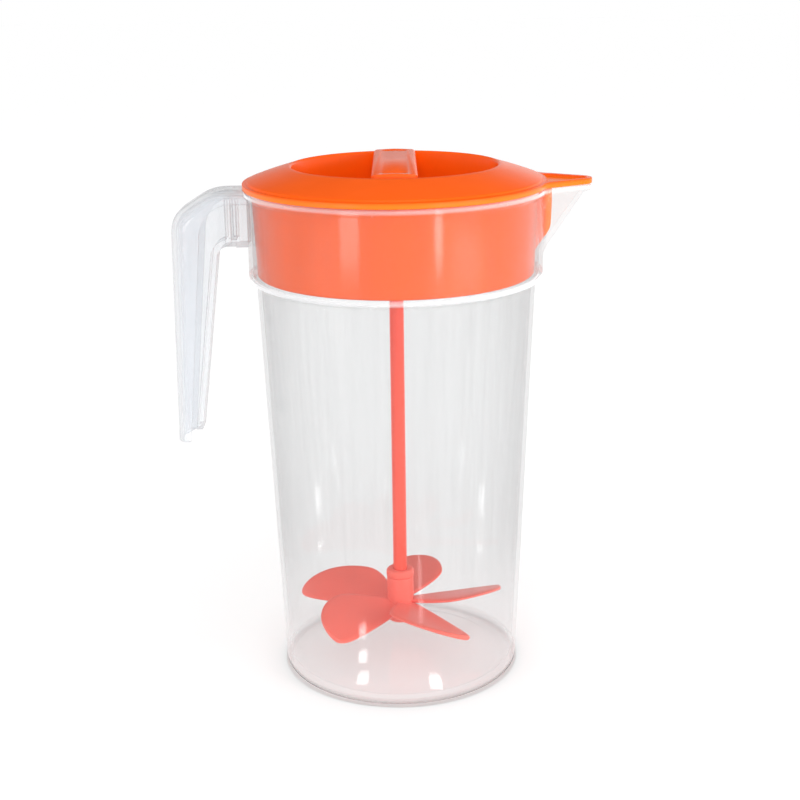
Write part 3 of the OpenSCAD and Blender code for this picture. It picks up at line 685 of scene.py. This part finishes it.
class PITCHER_OT_jug(bpy.types.Operator):
    """Build the clear jug with its foot, collar, rim lip and spout"""
    bl_idname = "pitcher.jug"
    bl_label = "Jug"

    def execute(self, context):
        settings = context.scene.pitcher
        jug, lid = settings.jug, settings.lid
        beak = SpoutBeak(jug, lid.seat_z)
        lean = (jug.neck_r - jug.foot_r) / (jug.collar_z - jug.step_h)
        step = jug.step_h
        lip_low = jug.rim_top - jug.lip_h
        lip_w = jug.lip_r - jug.collar_r
        in_floor = jug.foot_recess + jug.floor_t
        collar_in = jug.collar_r - jug.wall

        def wall_r(z):
            return jug.foot_r + lean * z

        ring_in = jug.foot_r - jug.foot_round - jug.foot_ring
        foot = [(0, jug.foot_recess), (ring_in * 0.5, jug.foot_recess),
                (ring_in - jug.foot_recess, jug.foot_recess), (ring_in, 0), (jug.foot_r - jug.foot_round, 0)]
        foot += arc(wall_r(jug.foot_round) - jug.foot_round, jug.foot_round, jug.foot_round, -75, 0, 8)
        neck = (jug.neck_r, jug.collar_z - step)
        hollow_r, round_r, in_round = step * 0.25, step * 0.3, 1 * MM
        shoulder = arc(jug.neck_r + hollow_r, jug.collar_z - step * 0.45, hollow_r, 180, 120, 5)
        shoulder += arc(jug.collar_r - round_r, jug.collar_z + hollow_r, round_r, -60, 0, 6)
        collar_top = (jug.collar_r, lip_low - lip_w)
        outer = foot + between(foot[-1], neck, 12) + [neck] + shoulder
        outer += between(shoulder[-1], collar_top, 18) + [collar_top]

        in_step = arc(collar_in - in_round, jug.collar_z + hollow_r, in_round, 0, -60, 4)
        in_neck = (jug.neck_r - jug.wall, jug.collar_z - step + jug.wall / 3)
        bend = arc(wall_r(in_floor + jug.floor_round) - jug.wall - jug.floor_round,
                   in_floor + jug.floor_round, jug.floor_round, 0, -90, 8)
        rim_in = (collar_in, jug.rim_top - jug.rim_round)
        inner = [rim_in] + between(rim_in, in_step[0], 18) + in_step + [in_neck]
        inner += between(in_neck, bend[0], 12) + bend + [(bend[-1][0] * 0.5, in_floor), (0, in_floor)]

        def outline(angle):
            def spread(r, z, inset):
                """A point of the round jug, pushed out where the beak reaches further."""
                if z < jug.collar_z + step:
                    return r, z
                return soft_max(r, beak.reach(angle, z, inset), jug.spout_soft), z

            lip = beak.edge(angle, jug.lip_r, jug.spout_lip)
            points = [spread(r, z, 0) for r, z in outer] + [(lip, lip_low)]
            points += arc(lip - jug.rim_round, jug.rim_top - jug.rim_round, jug.rim_round, 0, 90, 4)
            points += [(spread(*rim_in, jug.wall)[0] + jug.rim_round, jug.rim_top)]
            points += [spread(r, z, jug.wall) for r, z in inner]
            return points

        made = polar_mesh("jug_shell", spout_angles(), outline, False)
        look = settings.finish
        foot_band, neck_band = 2 * MM, step / 5
        bands = ((jug.foot_recess, foot_band, jug.foot_r - jug.foot_round, look.foot_haze),
                 (jug.collar_z + neck_band, neck_band, jug.foot_r, look.neck_haze),
                 (jug.rim_top - jug.lip_h / 2, jug.lip_h / 3, jug.foot_r, look.thick_haze))
        # The tint fade towards the floor is painted light that lifts the shade inside the lower jug.
        plain = (in_floor + look.fade, look.fade, look.low_tint, jug.collar_r + 1 * MM, look.spout_tint)
        finish = clear_moulding("clear_jug", look.jug, look.milk, look.jug_haze, bands, plain)
        settle(made, "pitcher", "clear_body", finish, "pitcher_body")
        return {"FINISHED"}


class PITCHER_OT_handle(bpy.types.Operator):
    """Build the open-ended channel handle with its web, flange, rib and root"""
    bl_idname = "pitcher.handle"
    bl_label = "Handle"

    def execute(self, context):
        settings = context.scene.pitcher
        h, jug = settings.handle, settings.jug
        slope, lean = math.degrees(h.shoulder_a), math.degrees(h.grip_lean)
        buried, spare, hair = 4 * MM, 1 * MM, 0.02 * MM
        corner_share, web_sink = 0.62, 0.6
        start_x = jug.collar_r - buried
        flange_z = h.top_z - h.flange_drop

        shoulder = arc(h.run, h.top_z - h.shoulder_r, h.shoulder_r, 90, 90 - slope, 10)
        down = Vector((math.cos(h.shoulder_a), -math.sin(h.shoulder_a)))
        elbow_start = Vector(shoulder[-1]) + h.shoulder_len * down
        elbow_c = elbow_start - h.elbow_r * Vector((math.sin(h.shoulder_a), math.cos(h.shoulder_a)))
        elbow = arc(elbow_c.x, elbow_c.y, h.elbow_r, 90 - slope, lean, 16)
        end = Vector(elbow[-1]) + h.grip_len * Vector((math.sin(h.grip_lean), -math.cos(h.grip_lean)))
        top_start = (start_x, h.top_z)
        outer = [top_start] + between(top_start, shoulder[0], 4) + shoulder
        outer += between(shoulder[-1], elbow[0], 6) + elbow
        elbow_at = len(outer) - 1
        outer += between(elbow[-1], tuple(end), 20) + [tuple(end)]

        side_z = h.top_z - h.side_root
        side_c = side_z - h.side_r
        side_start = (start_x, side_z)
        side_end = (end.x - h.side_end, end.y)
        # The side walls' edge has as many points as the outer line: shoulder, straight part and elbow.
        bend_one = arc(h.side_run, side_c, h.side_r, 90, 52, 10)
        bend_two = arc(h.side_run, side_c, h.side_r, 52, 26, 6)
        bend_three = arc(h.side_run, side_c, h.side_r, 26, 0, 16)
        side = [side_start] + between(side_start, bend_one[0], 4) + bend_one
        side += bend_two[1:-1] + bend_three
        side += between(bend_three[-1], side_end, 20) + [side_end]

        def width(i):
            if i < elbow_at:
                return mix(h.width_root, h.width_elbow, math.sqrt(i / elbow_at))
            return mix(h.width_elbow, h.width_end, (i - elbow_at) / (len(outer) - 1 - elbow_at))

        def section(depth, w, skin):
            """Outer or inner line of the channel, from one side wall's edge to the other's."""
            a = max(min(h.corner_d, corner_share * depth) - skin, h.skin / 4)
            b = h.corner_w - skin
            half = w / 2 - skin
            quarter = [math.radians(90 * i / 8) for i in range(9)]
            left = [(skin + a - a * math.sin(q), -half + b - b * math.cos(q)) for q in quarter]
            line = [(depth, -half)] + left
            return line + [(d, -y) for d, y in reversed(line)]

        bm = bmesh.new()
        rings = []
        for i, (o, e) in enumerate(zip(outer, side)):
            o, e = Vector(o), Vector(e)
            depth = (e - o).length
            inward = (e - o) / depth
            line = section(depth, width(i), 0) + section(depth, width(i), h.skin)[::-1]
            ring = []
            for d, y in line:
                p = o + inward * d
                ring.append(bm.verts.new((-p.x, y, p.y)))
            rings.append(ring)
        count = len(rings[0])
        for here, ahead in zip(rings, rings[1:]):
            for j in range(count):
                k = (j + 1) % count
                bm.faces.new((here[j], here[k], ahead[k], ahead[j]))
        for ring in (rings[0], rings[-1]):
            for j in range(count // 2 - 1):
                bm.faces.new((ring[j], ring[j + 1], ring[count - 2 - j], ring[count - 1 - j]))
        bmesh.ops.recalc_face_normals(bm, faces=bm.faces)
        made = finished_object("channel_handle", bm)

        stop = (h.grip_in_end, end.y + h.flange_short)
        finger_c = (h.grip_in_top - h.finger_r, flange_z - h.finger_r)
        finger = [(start_x, flange_z)] + arc(*finger_c, h.finger_r, 90, 6, 12) + [stop]
        back = [(start_x, flange_z + h.flange_t)] + arc(*finger_c, h.finger_r + h.flange_t, 90, 6, 12)
        back += [(stop[0] + h.flange_t, stop[1])]
        strap = [tuple(Vector(o) + (Vector(e) - Vector(o)).normalized() * h.skin * web_sink)
                 for o, e in zip(outer, side)]
        low_web = [(x + hair, z + h.flange_t / 4) for x, z in finger]
        rib_x = h.side_run + h.rib_off
        rib_low = flange_z + h.flange_t / 2
        rib_high = rib_low + h.flange_drop - h.side_root
        root_x = jug.collar_r + h.root_t
        root_high = h.top_z - h.skin / 2
        parts = [
            slab(finger + back[::-1], h.flange_w),
            slab(low_web + strap[::-1], h.web_t),
            slab(block(rib_x, rib_x + h.web_t, rib_low, rib_high), h.rib_w),
            slab(block(start_x, root_x, flange_z, root_high), h.root_w),
        ]
        for part in parts:
            combine(made, part, "UNION")

        lip_low = jug.rim_top - jug.lip_h
        lip_w = jug.lip_r - jug.collar_r
        bore = [(0, -spare), (jug.collar_r, -spare), (jug.collar_r, lip_low - lip_w),
                (jug.lip_r, lip_low), (jug.lip_r, jug.rim_top + spare), (0, jug.rim_top + spare)]
        combine(made, polar_mesh("bore", even_angles(120), lambda angle: bore, False), "DIFFERENCE")
        round_edges(made, h.edge)
        look = settings.finish
        finish = clear_moulding("clear_handle", look.handle, look.milk, look.handle_haze,
                                edge=0.74, slant=0.5)
        settle(made, "pitcher", "clear_handle", finish, "pitcher_handle")
        return {"FINISHED"}


class PITCHER_OT_lid(bpy.types.Operator):
    """Build the push-in lid with its dome, dish, tab, skirt and spout plug"""
    bl_idname = "pitcher.lid"
    bl_label = "Lid"

    def execute(self, context):
        settings = context.scene.pitcher
        lid, jug = settings.lid, settings.jug
        beak = SpoutBeak(jug, lid.seat_z)
        top = lid.seat_z + lid.flange_t
        dish_z = lid.crown_z - lid.dish_depth
        draft = math.degrees(lid.dish_draft)
        cut = lid.edge_round
        floor_r = (lid.dish_r - lid.dish_lip - lid.dish_round
                   - (lid.dish_depth - lid.dish_lip - lid.dish_round) * math.tan(lid.dish_draft))
        dome_r = lid.edge_r - lid.ledge
        dome_start = (lid.dish_r + lid.dish_lip, lid.crown_z)
        dome_end = (dome_r, top + lid.dome_step)
        plug_in = jug.wall + lid.plug_gap
        tab_out = jug.spout_lip + lid.tab_over
        crown, plug_soft, nudge = 0.2 * MM, 1.6 * MM, 0.1 * MM
        step_round, step_foot = 0.4 * MM, 0.5 * MM
        sink_start, sink_run = 1 * MM, 3 * MM
        root_out, root_in, root_drop = 0.2 * MM, 0.4 * MM, 0.3 * MM
        lit_edge = 1.4 * MM

        upper = [(lid.guide_r, dish_z + lid.boss_rise - cut), (lid.guide_r + cut, dish_z + lid.boss_rise),
                 (lid.boss_r - cut, dish_z + lid.boss_rise), (lid.boss_r, dish_z + lid.boss_rise - cut),
                 (lid.boss_r + cut, dish_z)]
        upper += arc(floor_r, dish_z + lid.dish_round, lid.dish_round, -90, -draft, 12)
        upper += arc(lid.dish_r + lid.dish_lip, lid.crown_z - lid.dish_lip, lid.dish_lip, 180 - draft, 90, 8)
        dome = between(dome_start, dome_end, 10)
        upper += [(r, z + crown * math.sin(math.pi * i / len(dome))) for i, (r, z) in enumerate(dome)]
        upper += arc(dome_r - step_round, dome_end[1] - 0.3 * MM, step_round, 70, 20, 3)
        upper += [(dome_r + step_foot / 2, top + 0.15 * MM), (dome_r + step_foot, top)]

        lower = [(r, z - lid.skin) for r, z in between(dome_end, dome_start, 6)]
        lower += [(lid.dish_r + lid.skin, lid.crown_z - lid.skin - cut)]
        lower += arc(floor_r, dish_z + lid.dish_round, lid.dish_round + lid.skin, -draft, -90, 10)
        lower += [(lid.boss_r + cut, dish_z - lid.skin), (lid.boss_r, dish_z - lid.skin - cut),
                  (lid.boss_r - cut, lid.boss_low), (lid.guide_r + cut, lid.boss_low),
                  (lid.guide_r, lid.boss_low + cut)]
        levels = [mix(lid.seat_z - root_drop, lid.skirt_z + cut, i / 20) for i in range(21)]

        def skirt(angle, z, inset):
            """Radius of the skirt's outer or inner face, with its bulge into the spout."""
            t = (lid.seat_z - z) / (lid.seat_z - lid.skirt_z)
            plain = mix(lid.skirt_top_r, lid.skirt_low_r, t) - inset
            bulge = soft_min(beak.reach(angle, z, plug_in + inset), lid.plug_reach - inset, plug_soft)
            return soft_max(plain, bulge, plug_soft)

        def outline(angle):
            edge = beak.edge(angle, lid.edge_r, tab_out)
            sunk_r = beak.plan(angle, lid.tab_edge - tab_out)
            sunk = soft_step((sunk_r - lid.edge_r - sink_start) / sink_run)
            flat = edge - cut
            wall_in = dome_r + 1 * MM
            wall_out = max(sunk_r, wall_in)
            points = list(upper)
            points += [(mix(wall_in, lid.edge_r - cut, sunk), top),
                       (mix(wall_in + nudge, lid.edge_r + 2 * nudge, sunk), top - lid.tab_sink * sunk),
                       (mix(wall_in + 2 * nudge, wall_out - 6 * nudge, sunk), top - lid.tab_sink * sunk),
                       (mix(wall_in + 3 * nudge, wall_out, sunk), top)]
            points += arc(flat, top - cut, cut, 90, 0, 4)
            points += arc(flat, lid.seat_z + cut, cut, 0, -90, 4)
            points += [(skirt(angle, levels[0], 0) + root_out, lid.seat_z)]
            points += [(skirt(angle, z, 0), z) for z in levels]
            points += [(skirt(angle, lid.skirt_z, 0) - cut, lid.skirt_z),
                       (skirt(angle, lid.skirt_z, lid.skin) + cut, lid.skirt_z)]
            points += [(skirt(angle, z, lid.skin), z) for z in reversed(levels)]
            points += [(lid.skirt_top_r - lid.skin - root_in, lid.seat_z)]
            points += lower
            return points

        made = polar_mesh("push_lid", spout_angles(), outline, True)
        # The flange's outer edge gets a painted glow, lighter and yellower than the rest of the lid.
        painted_glow = (top - lid.flange_t / 2, lid.edge_r - lit_edge, settings.finish.painted_glow)
        finish = moulded_gloss("lid_gloss", settings.finish.lid, rough=0.24, peel=0.03, painted_glow=painted_glow)
        settle(made, "lid", "lid_orange", finish, "lid")
        return {"FINISHED"}


class PITCHER_OT_mixer(bpy.types.Operator):
    """Dress the grip bar, the rod, its bush and the collar on the rotor"""
    bl_idname = "pitcher.mixer"
    bl_label = "Bar, rod, bush and collar"

    def execute(self, context):
        look = context.scene.pitcher.finish
        rod_skin = moulded_gloss("rod_satin", look.rod, **SATIN)
        ring_skin = moulded_gloss("ring_satin", look.rotor, **SATIN)
        bar_skin = moulded_gloss("bar_gloss", look.bar, rough=0.26, peel=0.10)
        bush_skin = moulded_gloss("bush_satin", look.bush, rough=0.45, peel=0.06)
        for node, name, edge, body, slot, skin in (
                ("grip_bar", "pull_bar", 0.3 * MM, "mixer", "grip_orange", bar_skin),
                ("mixer_rod", "stirring_rod", 0.15 * MM, "mixer", "rod_orange", rod_skin),
                ("rotor_collar", "rotor_ring", 0.35 * MM, "mixer", "rotor_orange", ring_skin),
                ("rod_bush", "guide_bush", 0.15 * MM, "guide", "bush_natural", bush_skin)):
            settle(dressed_copy(node, name, edge), body, slot, skin, node)
        return {"FINISHED"}


class PITCHER_OT_rotor(bpy.types.Operator):
    """Build the rotor: a round boss and its pitched blades"""
    bl_idname = "pitcher.rotor"
    bl_label = "Rotor"

    def execute(self, context):
        settings = context.scene.pitcher
        rotor = settings.rotor
        finish = moulded_gloss("rotor_satin", settings.finish.rotor, **SATIN)
        cut, least_faces = 0.5 * MM, 1000
        boss = [(0, rotor.low_z)]
        boss += arc(rotor.boss_r - rotor.nose_r, rotor.low_z + rotor.nose_r, rotor.nose_r, -90, 0, 6)
        boss += arc(rotor.boss_r - cut, rotor.top_z - cut, cut, 0, 90, 4) + [(0, rotor.top_z)]
        made = polar_mesh("bladed_rotor", even_angles(72), lambda angle: boss, False)
        sizes = {
            "Blades": rotor.blades, "First turn": rotor.first, "Tip radius": rotor.tip_r,
            "Root radius": rotor.boss_r - rotor.sink, "Height": rotor.blade_z, "Broad side": rotor.wide,
            "Narrow side": rotor.narrow, "Root width": rotor.root, "Widest at": rotor.peak,
            "Squareness": rotor.blunt, "Root pitch": rotor.pitch_root, "Tip pitch": rotor.pitch_tip,
            "Thickness": rotor.thick, "Finish": finish}
        tree, slots = blade_tree(sizes)
        step = made.modifiers.new("blades", "NODES")
        step.node_group = tree
        for name, value in sizes.items():
            step[slots[name]] = value
        baked(made)
        smooth(made, angle=40)
        if len(made.data.polygons) < least_faces:
            raise RuntimeError("the rotor's blades were not made")
        settle(made, "mixer", "rotor_orange", finish, "rotor")
        return {"FINISHED"}


def blade_tree(sizes):
    """A node tree that sets pitched blades round a boss, with the identifiers of its inputs by name.

    Its inputs are named as the sizes are, and each is a number or a material as its size is.
    """
    tree = bpy.data.node_groups.new("pitched_blades", "GeometryNodeTree")
    board = Board(tree)
    face = tree.interface
    face.new_socket("Geometry", in_out="INPUT", socket_type="NodeSocketGeometry")
    kinds = {int: "Int", float: "Float"}
    slots = {}
    for name, value in sizes.items():
        kind = "NodeSocket" + kinds.get(type(value), "Material")
        slots[name] = face.new_socket(name, in_out="INPUT", socket_type=kind).identifier
    face.new_socket("Geometry", in_out="OUTPUT", socket_type="NodeSocketGeometry")

    given = board.add("NodeGroupInput", output="Geometry")

    def size(name):
        return board.other(given, name)

    block = board.add("GeometryNodeMeshCube", inputs={
        "Size": (1.0, 1.0, 1.0), "Vertices X": 30, "Vertices Y": 25, "Vertices Z": 3})
    place = board.add("ShaderNodeSeparateXYZ", inputs={0: board.add("GeometryNodeInputPosition")})
    # Stops just short of the tip, where a blade's width would come to nothing.
    along = ((place + 0.5) * (math.pi / 2)).sine() * 0.998
    across = board.other(place, "Y") + 0.5
    layer = board.other(place, "Z") * 2

    def reach(widest, blunt):
        """Width of one side of the blade: it swells from the root to its peak, then rounds off to the tip."""
        swell = size("Root width") + (widest - size("Root width")) * (
            (along / size("Widest at")).least(1) * (math.pi / 2)).sine()
        past = (along - size("Widest at")).most(0) / (1 - size("Widest at"))
        return swell.least(widest * (1 - past ** blunt).most(0) ** (1 / blunt))

    broad, narrow = reach(size("Broad side"), 2), reach(size("Narrow side"), size("Squareness"))
    width = broad + narrow
    offset = width * across - narrow
    # A blade thins to its long edges, and near the tip to a share of its width.
    edge = (1 - 0.92 * abs(2 * across - 1) ** 7).root()
    height = layer * edge * (size("Thickness") / 2).least(width * 0.3)
    pitch = size("Root pitch") + (size("Tip pitch") - size("Root pitch")) * along
    spot = board.add("ShaderNodeCombineXYZ", inputs={
        "X": size("Root radius") + (size("Tip radius") - size("Root radius")) * along,
        "Y": height * pitch.sine() - offset * pitch.cosine(),
        "Z": size("Height") + offset * pitch.sine() + height * pitch.cosine()})
    blade = board.add("GeometryNodeSetPosition", inputs={"Geometry": block, "Position": spot})

    spots = board.add("GeometryNodePoints", inputs={"Count": size("Blades")})
    index = board.add("GeometryNodeInputIndex")
    angle = size("First turn") + index * (2 * math.pi / size("Blades"))
    facing = board.add("FunctionNodeEulerToRotation", inputs={
        0: board.add("ShaderNodeCombineXYZ", inputs={"Z": angle})})
    copies = board.add("GeometryNodeInstanceOnPoints", inputs={
        "Points": spots, "Instance": blade, "Rotation": facing})
    apart = board.add("GeometryNodeRealizeInstances", inputs={"Geometry": copies})
    whole = board.add("GeometryNodeMeshBoolean", {"operation": "UNION", "solver": "EXACT"},
                      {"Self Intersection": True})
    union = whole.socket.node
    for part in (given, apart):
        tree.links.new(part.socket, union.inputs["Mesh 2"])
    real = board.add("GeometryNodeRealizeInstances", inputs={"Geometry": whole})
    dressed = board.add("GeometryNodeSetMaterial", inputs={"Geometry": real, "Material": size("Finish")})
    board.add("NodeGroupOutput", inputs={"Geometry": dressed})
    return tree, slots


# Strip lamps that only gloss shows: place, size and brightness.
STRIPS = (
    ((-0.59, -0.87, 0.09), (0.26, 0.20), 1.0),
    ((0.56, -0.90, 0.09), (0.10, 0.20), 2.0),
)
# Strip lamps on the floor that only gloss shows: near end, far end, width and brightness.
FLOOR_STRIPS = (
    ((-0.0265, -0.0620), (-0.0312, -0.0685), 0.008, 4.5),
    ((-0.0380, -0.0777), (-0.0433, -0.0850), 0.009, 4.5),
    ((-0.0515, -0.0962), (-0.0575, -0.1045), 0.010, 4.5),
    ((0.021, -0.060), (0.026, -0.068), 0.008, 4.5),
    ((0.034, -0.122), (0.052, -0.187), 0.008, 1.5),
    ((-0.180, -0.0685), (-0.188, -0.0700), 0.010, 4.0),
    ((0.175, -0.0655), (0.183, -0.0670), 0.010, 4.0),
    ((-0.226, -0.080), (-0.265, -0.086), 0.012, 4.0),
    ((0.223, -0.073), (0.263, -0.079), 0.012, 4.0),
)


class PITCHER_OT_stage(bpy.types.Operator):
    """Set the pale floor, the soft studio light and the camera"""
    bl_idname = "pitcher.stage"
    bl_label = "Studio"

    def execute(self, context):
        scene = context.scene
        stage = scene.pitcher.stage
        scene.view_settings.view_transform = "Standard"
        scene.cycles.transparent_max_bounces = 32

        bm = bmesh.new()
        bmesh.ops.create_grid(bm, x_segments=8, y_segments=8, size=8)
        floor = finished_object("studio_floor", bm)
        floor.location.z = -0.2 * MM
        floor.data.materials.append(floor_finish(stage))
        ring = flag_outline(scene.pitcher.jug, stage)
        flag = polar_mesh("foot_flag", even_angles(72), lambda angle: ring, True)
        flag.data.materials.append(flag_finish())
        for kind in ("camera", "glossy", "transmission"):
            setattr(flag, "visible_" + kind, False)
        set_sky(scene, stage)
        key_place, fill_place, lamp_size = (0.95, -0.70, 0.26), (-0.95, -0.70, 0.26), (0.50, 0.50)
        for lamp in (soft_box("key", key_place, lamp_size, stage.key_power),
                     soft_box("fill", fill_place, lamp_size, stage.fill_power), front_light(stage)):
            lamp.visible_glossy = False
        for place, size, bright in STRIPS:
            power = stage.strip * bright * math.pi * size[0] * size[1]
            shown_by_gloss(soft_box("strip", place, size, power))
        for near, far, width, bright in FLOOR_STRIPS:
            shown_by_gloss(floor_strip(near, far, width, stage.strip * bright))
        scene.camera = studio_camera(stage)
        return {"FINISHED"}


def flag_outline(jug, stage):
    """Outline of a dark ring round the jug's foot that only keeps light off the floor beside it.

    It stands for the light that the real foot bends away, which plain see-through plastic lets pass.
    """
    outer, thick = jug.foot_r + 0.8 * MM, 0.5 * MM
    inner = outer - thick
    return [(outer, 0), (outer, stage.flag), (inner, stage.flag), (inner, 0)]


def flag_finish():
    """Dull black of the ring round the foot."""
    made, board = new_material("dark_flag")
    board.add("ShaderNodeOutputMaterial", inputs={"Surface": board.matte(grey(0.02), 0.9)})
    return made


def seen(board):
    """One for rays that show the background to the camera, straight or by gloss and clear walls."""
    path = board.add("ShaderNodeLightPath", output="Is Camera Ray")
    return path.most(board.other(path, "Is Glossy Ray")).most(board.other(path, "Is Transmission Ray"))


def floor_finish(stage):
    """Pale floor that shows white, with part of its white left to take the shadow."""
    made, board = new_material("pale_floor")
    place = board.add("ShaderNodeTexCoord", output="Object")
    grain = board.noise(place, 30.0, 2.0)
    plain = board.matte(board.blend(grain, grey(0.87), grey(0.89)), 0.9)
    glow = board.add("ShaderNodeEmission", inputs={"Color": WHITE, "Strength": stage.floor_white})
    skin = board.add("ShaderNodeMixShader", inputs={0: seen(board) * stage.floor_glow, 1: plain, 2: glow})
    board.add("ShaderNodeOutputMaterial", inputs={"Surface": skin})
    return made


def set_sky(scene, stage):
    """Even studio light: gloss shows a white back and a dark ceiling, the camera only white."""
    world = bpy.data.worlds.new("studio")
    world.use_nodes = True
    board = Board(world.node_tree)
    height = board.add("ShaderNodeSeparateXYZ", inputs={
        0: board.add("ShaderNodeTexCoord", output="Generated")}, output="Z")

    def ramp(value, start, end):
        """Rises gently from 0 to 1 between two values."""
        return board.add("ShaderNodeMapRange", {"interpolation_type": "SMOOTHSTEP"}, {
            "Value": value, "From Min": start, "From Max": end})

    dark = ramp(height, 0.08, 0.50)
    left = ramp(board.other(height, "X"), 0.30, -0.35)
    above = ramp(height, 0.25, 0.80)
    path = board.add("ShaderNodeLightPath", output="Is Glossy Ray")
    even = board.add("ShaderNodeBackground", inputs={
        "Color": WHITE, "Strength": stage.sky * (1 - above * stage.zenith)})
    plain = board.add("ShaderNodeBackground", inputs={
        "Color": WHITE,
        "Strength": (1 - path * dark * (1 - stage.ceiling)) * (1 - path * left * stage.left_dark)})
    shown = board.add("ShaderNodeMixShader", inputs={0: seen(board), 1: even, 2: plain})
    board.add("ShaderNodeOutputWorld", inputs={"Surface": shown})
    scene.world = world


def soft_box(name, place, size, power):
    """A soft rectangular lamp that looks at the middle of the jug."""
    lamp = bpy.data.lights.new(name, "AREA")
    lamp.shape = "RECTANGLE"
    lamp.size, lamp.size_y = size
    lamp.energy = power
    made = add_object(name, lamp)
    made.location = place
    aim = Vector((0, 0, BODY_HIGH.z / 2)) - Vector(place)
    made.rotation_euler = aim.to_track_quat("-Z", "Y").to_euler()
    return made


def front_light(stage):
    """A wide, soft light from above the camera."""
    lamp = bpy.data.lights.new("front", "SUN")
    lamp.energy = stage.front
    lamp.angle = stage.front_spread
    made = add_object("front", lamp)
    made.rotation_euler = (stage.front_tilt, 0, 0)
    return made


def floor_strip(near, far, width, bright):
    """A strip lamp that lies on the floor between two points and shines up."""
    near, far = Vector(near), Vector(far)
    along = far - near
    middle = (near + far) / 2
    made = soft_box("floor_strip", (*middle, 1 * MM), (along.length, width),
                    bright * math.pi * along.length * width)
    made.rotation_euler = (math.pi, 0, math.atan2(along.y, along.x))
    return made


def shown_by_gloss(lamp):
    """Leaves only the gloss of the lamp."""
    lamp.visible_diffuse = False
    lamp.visible_camera = False


def studio_camera(stage):
    """The camera at the viewing angle of the reference."""
    lens = bpy.data.cameras.new("camera")
    lens.angle = stage.view_angle
    made = add_object("camera", lens)
    ahead = Vector((0, math.cos(stage.camera_tilt), -math.sin(stage.camera_tilt)))
    upright = Vector((0, math.sin(stage.camera_tilt), math.cos(stage.camera_tilt)))
    right = Vector((1, 0, 0))
    c, s = math.cos(stage.camera_roll), math.sin(stage.camera_roll)
    columns = Matrix((c * right + s * upright, c * upright - s * right, -ahead)).transposed()
    made.matrix_world = Matrix.Translation(stage.camera_place) @ columns.to_4x4()
    return made


class PITCHER_PT_panel(bpy.types.Panel):
    """Sidebar panel of the mixing pitcher"""
    bl_idname = "PITCHER_PT_panel"
    bl_label = "Mixing pitcher"
    bl_space_type = "VIEW_3D"
    bl_region_type = "UI"
    bl_category = "Pitcher"

    def draw(self, context):
        for maker in OPERATORS:
            self.layout.operator(maker.bl_idname)
        settings = context.scene.pitcher
        for group in (settings.jug, settings.handle, settings.lid, settings.rotor, settings.finish,
                      settings.stage):
            box = self.layout.box()
            for name in group.__annotations__:
                box.prop(group, name)


OPERATORS = (PITCHER_OT_jug, PITCHER_OT_handle, PITCHER_OT_lid, PITCHER_OT_mixer, PITCHER_OT_rotor,
             PITCHER_OT_stage)
CLASSES = (JugSizes, HandleSizes, LidSizes, RotorSizes, PitcherFinish, StageSettings, PitcherSettings,
           *OPERATORS, PITCHER_PT_panel)


def register():
    for item in CLASSES:
        bpy.utils.register_class(item)
    bpy.types.Scene.pitcher = PointerProperty(type=PitcherSettings)


def unregister():
    del bpy.types.Scene.pitcher
    for item in reversed(CLASSES):
        bpy.utils.unregister_class(item)


def main():
    register()
    bpy.ops.pitcher.jug()
    bpy.ops.pitcher.handle()
    bpy.ops.pitcher.lid()
    bpy.ops.pitcher.mixer()
    bpy.ops.pitcher.rotor()
    bpy.ops.pitcher.stage()


if __name__ == "__main__":
    main()
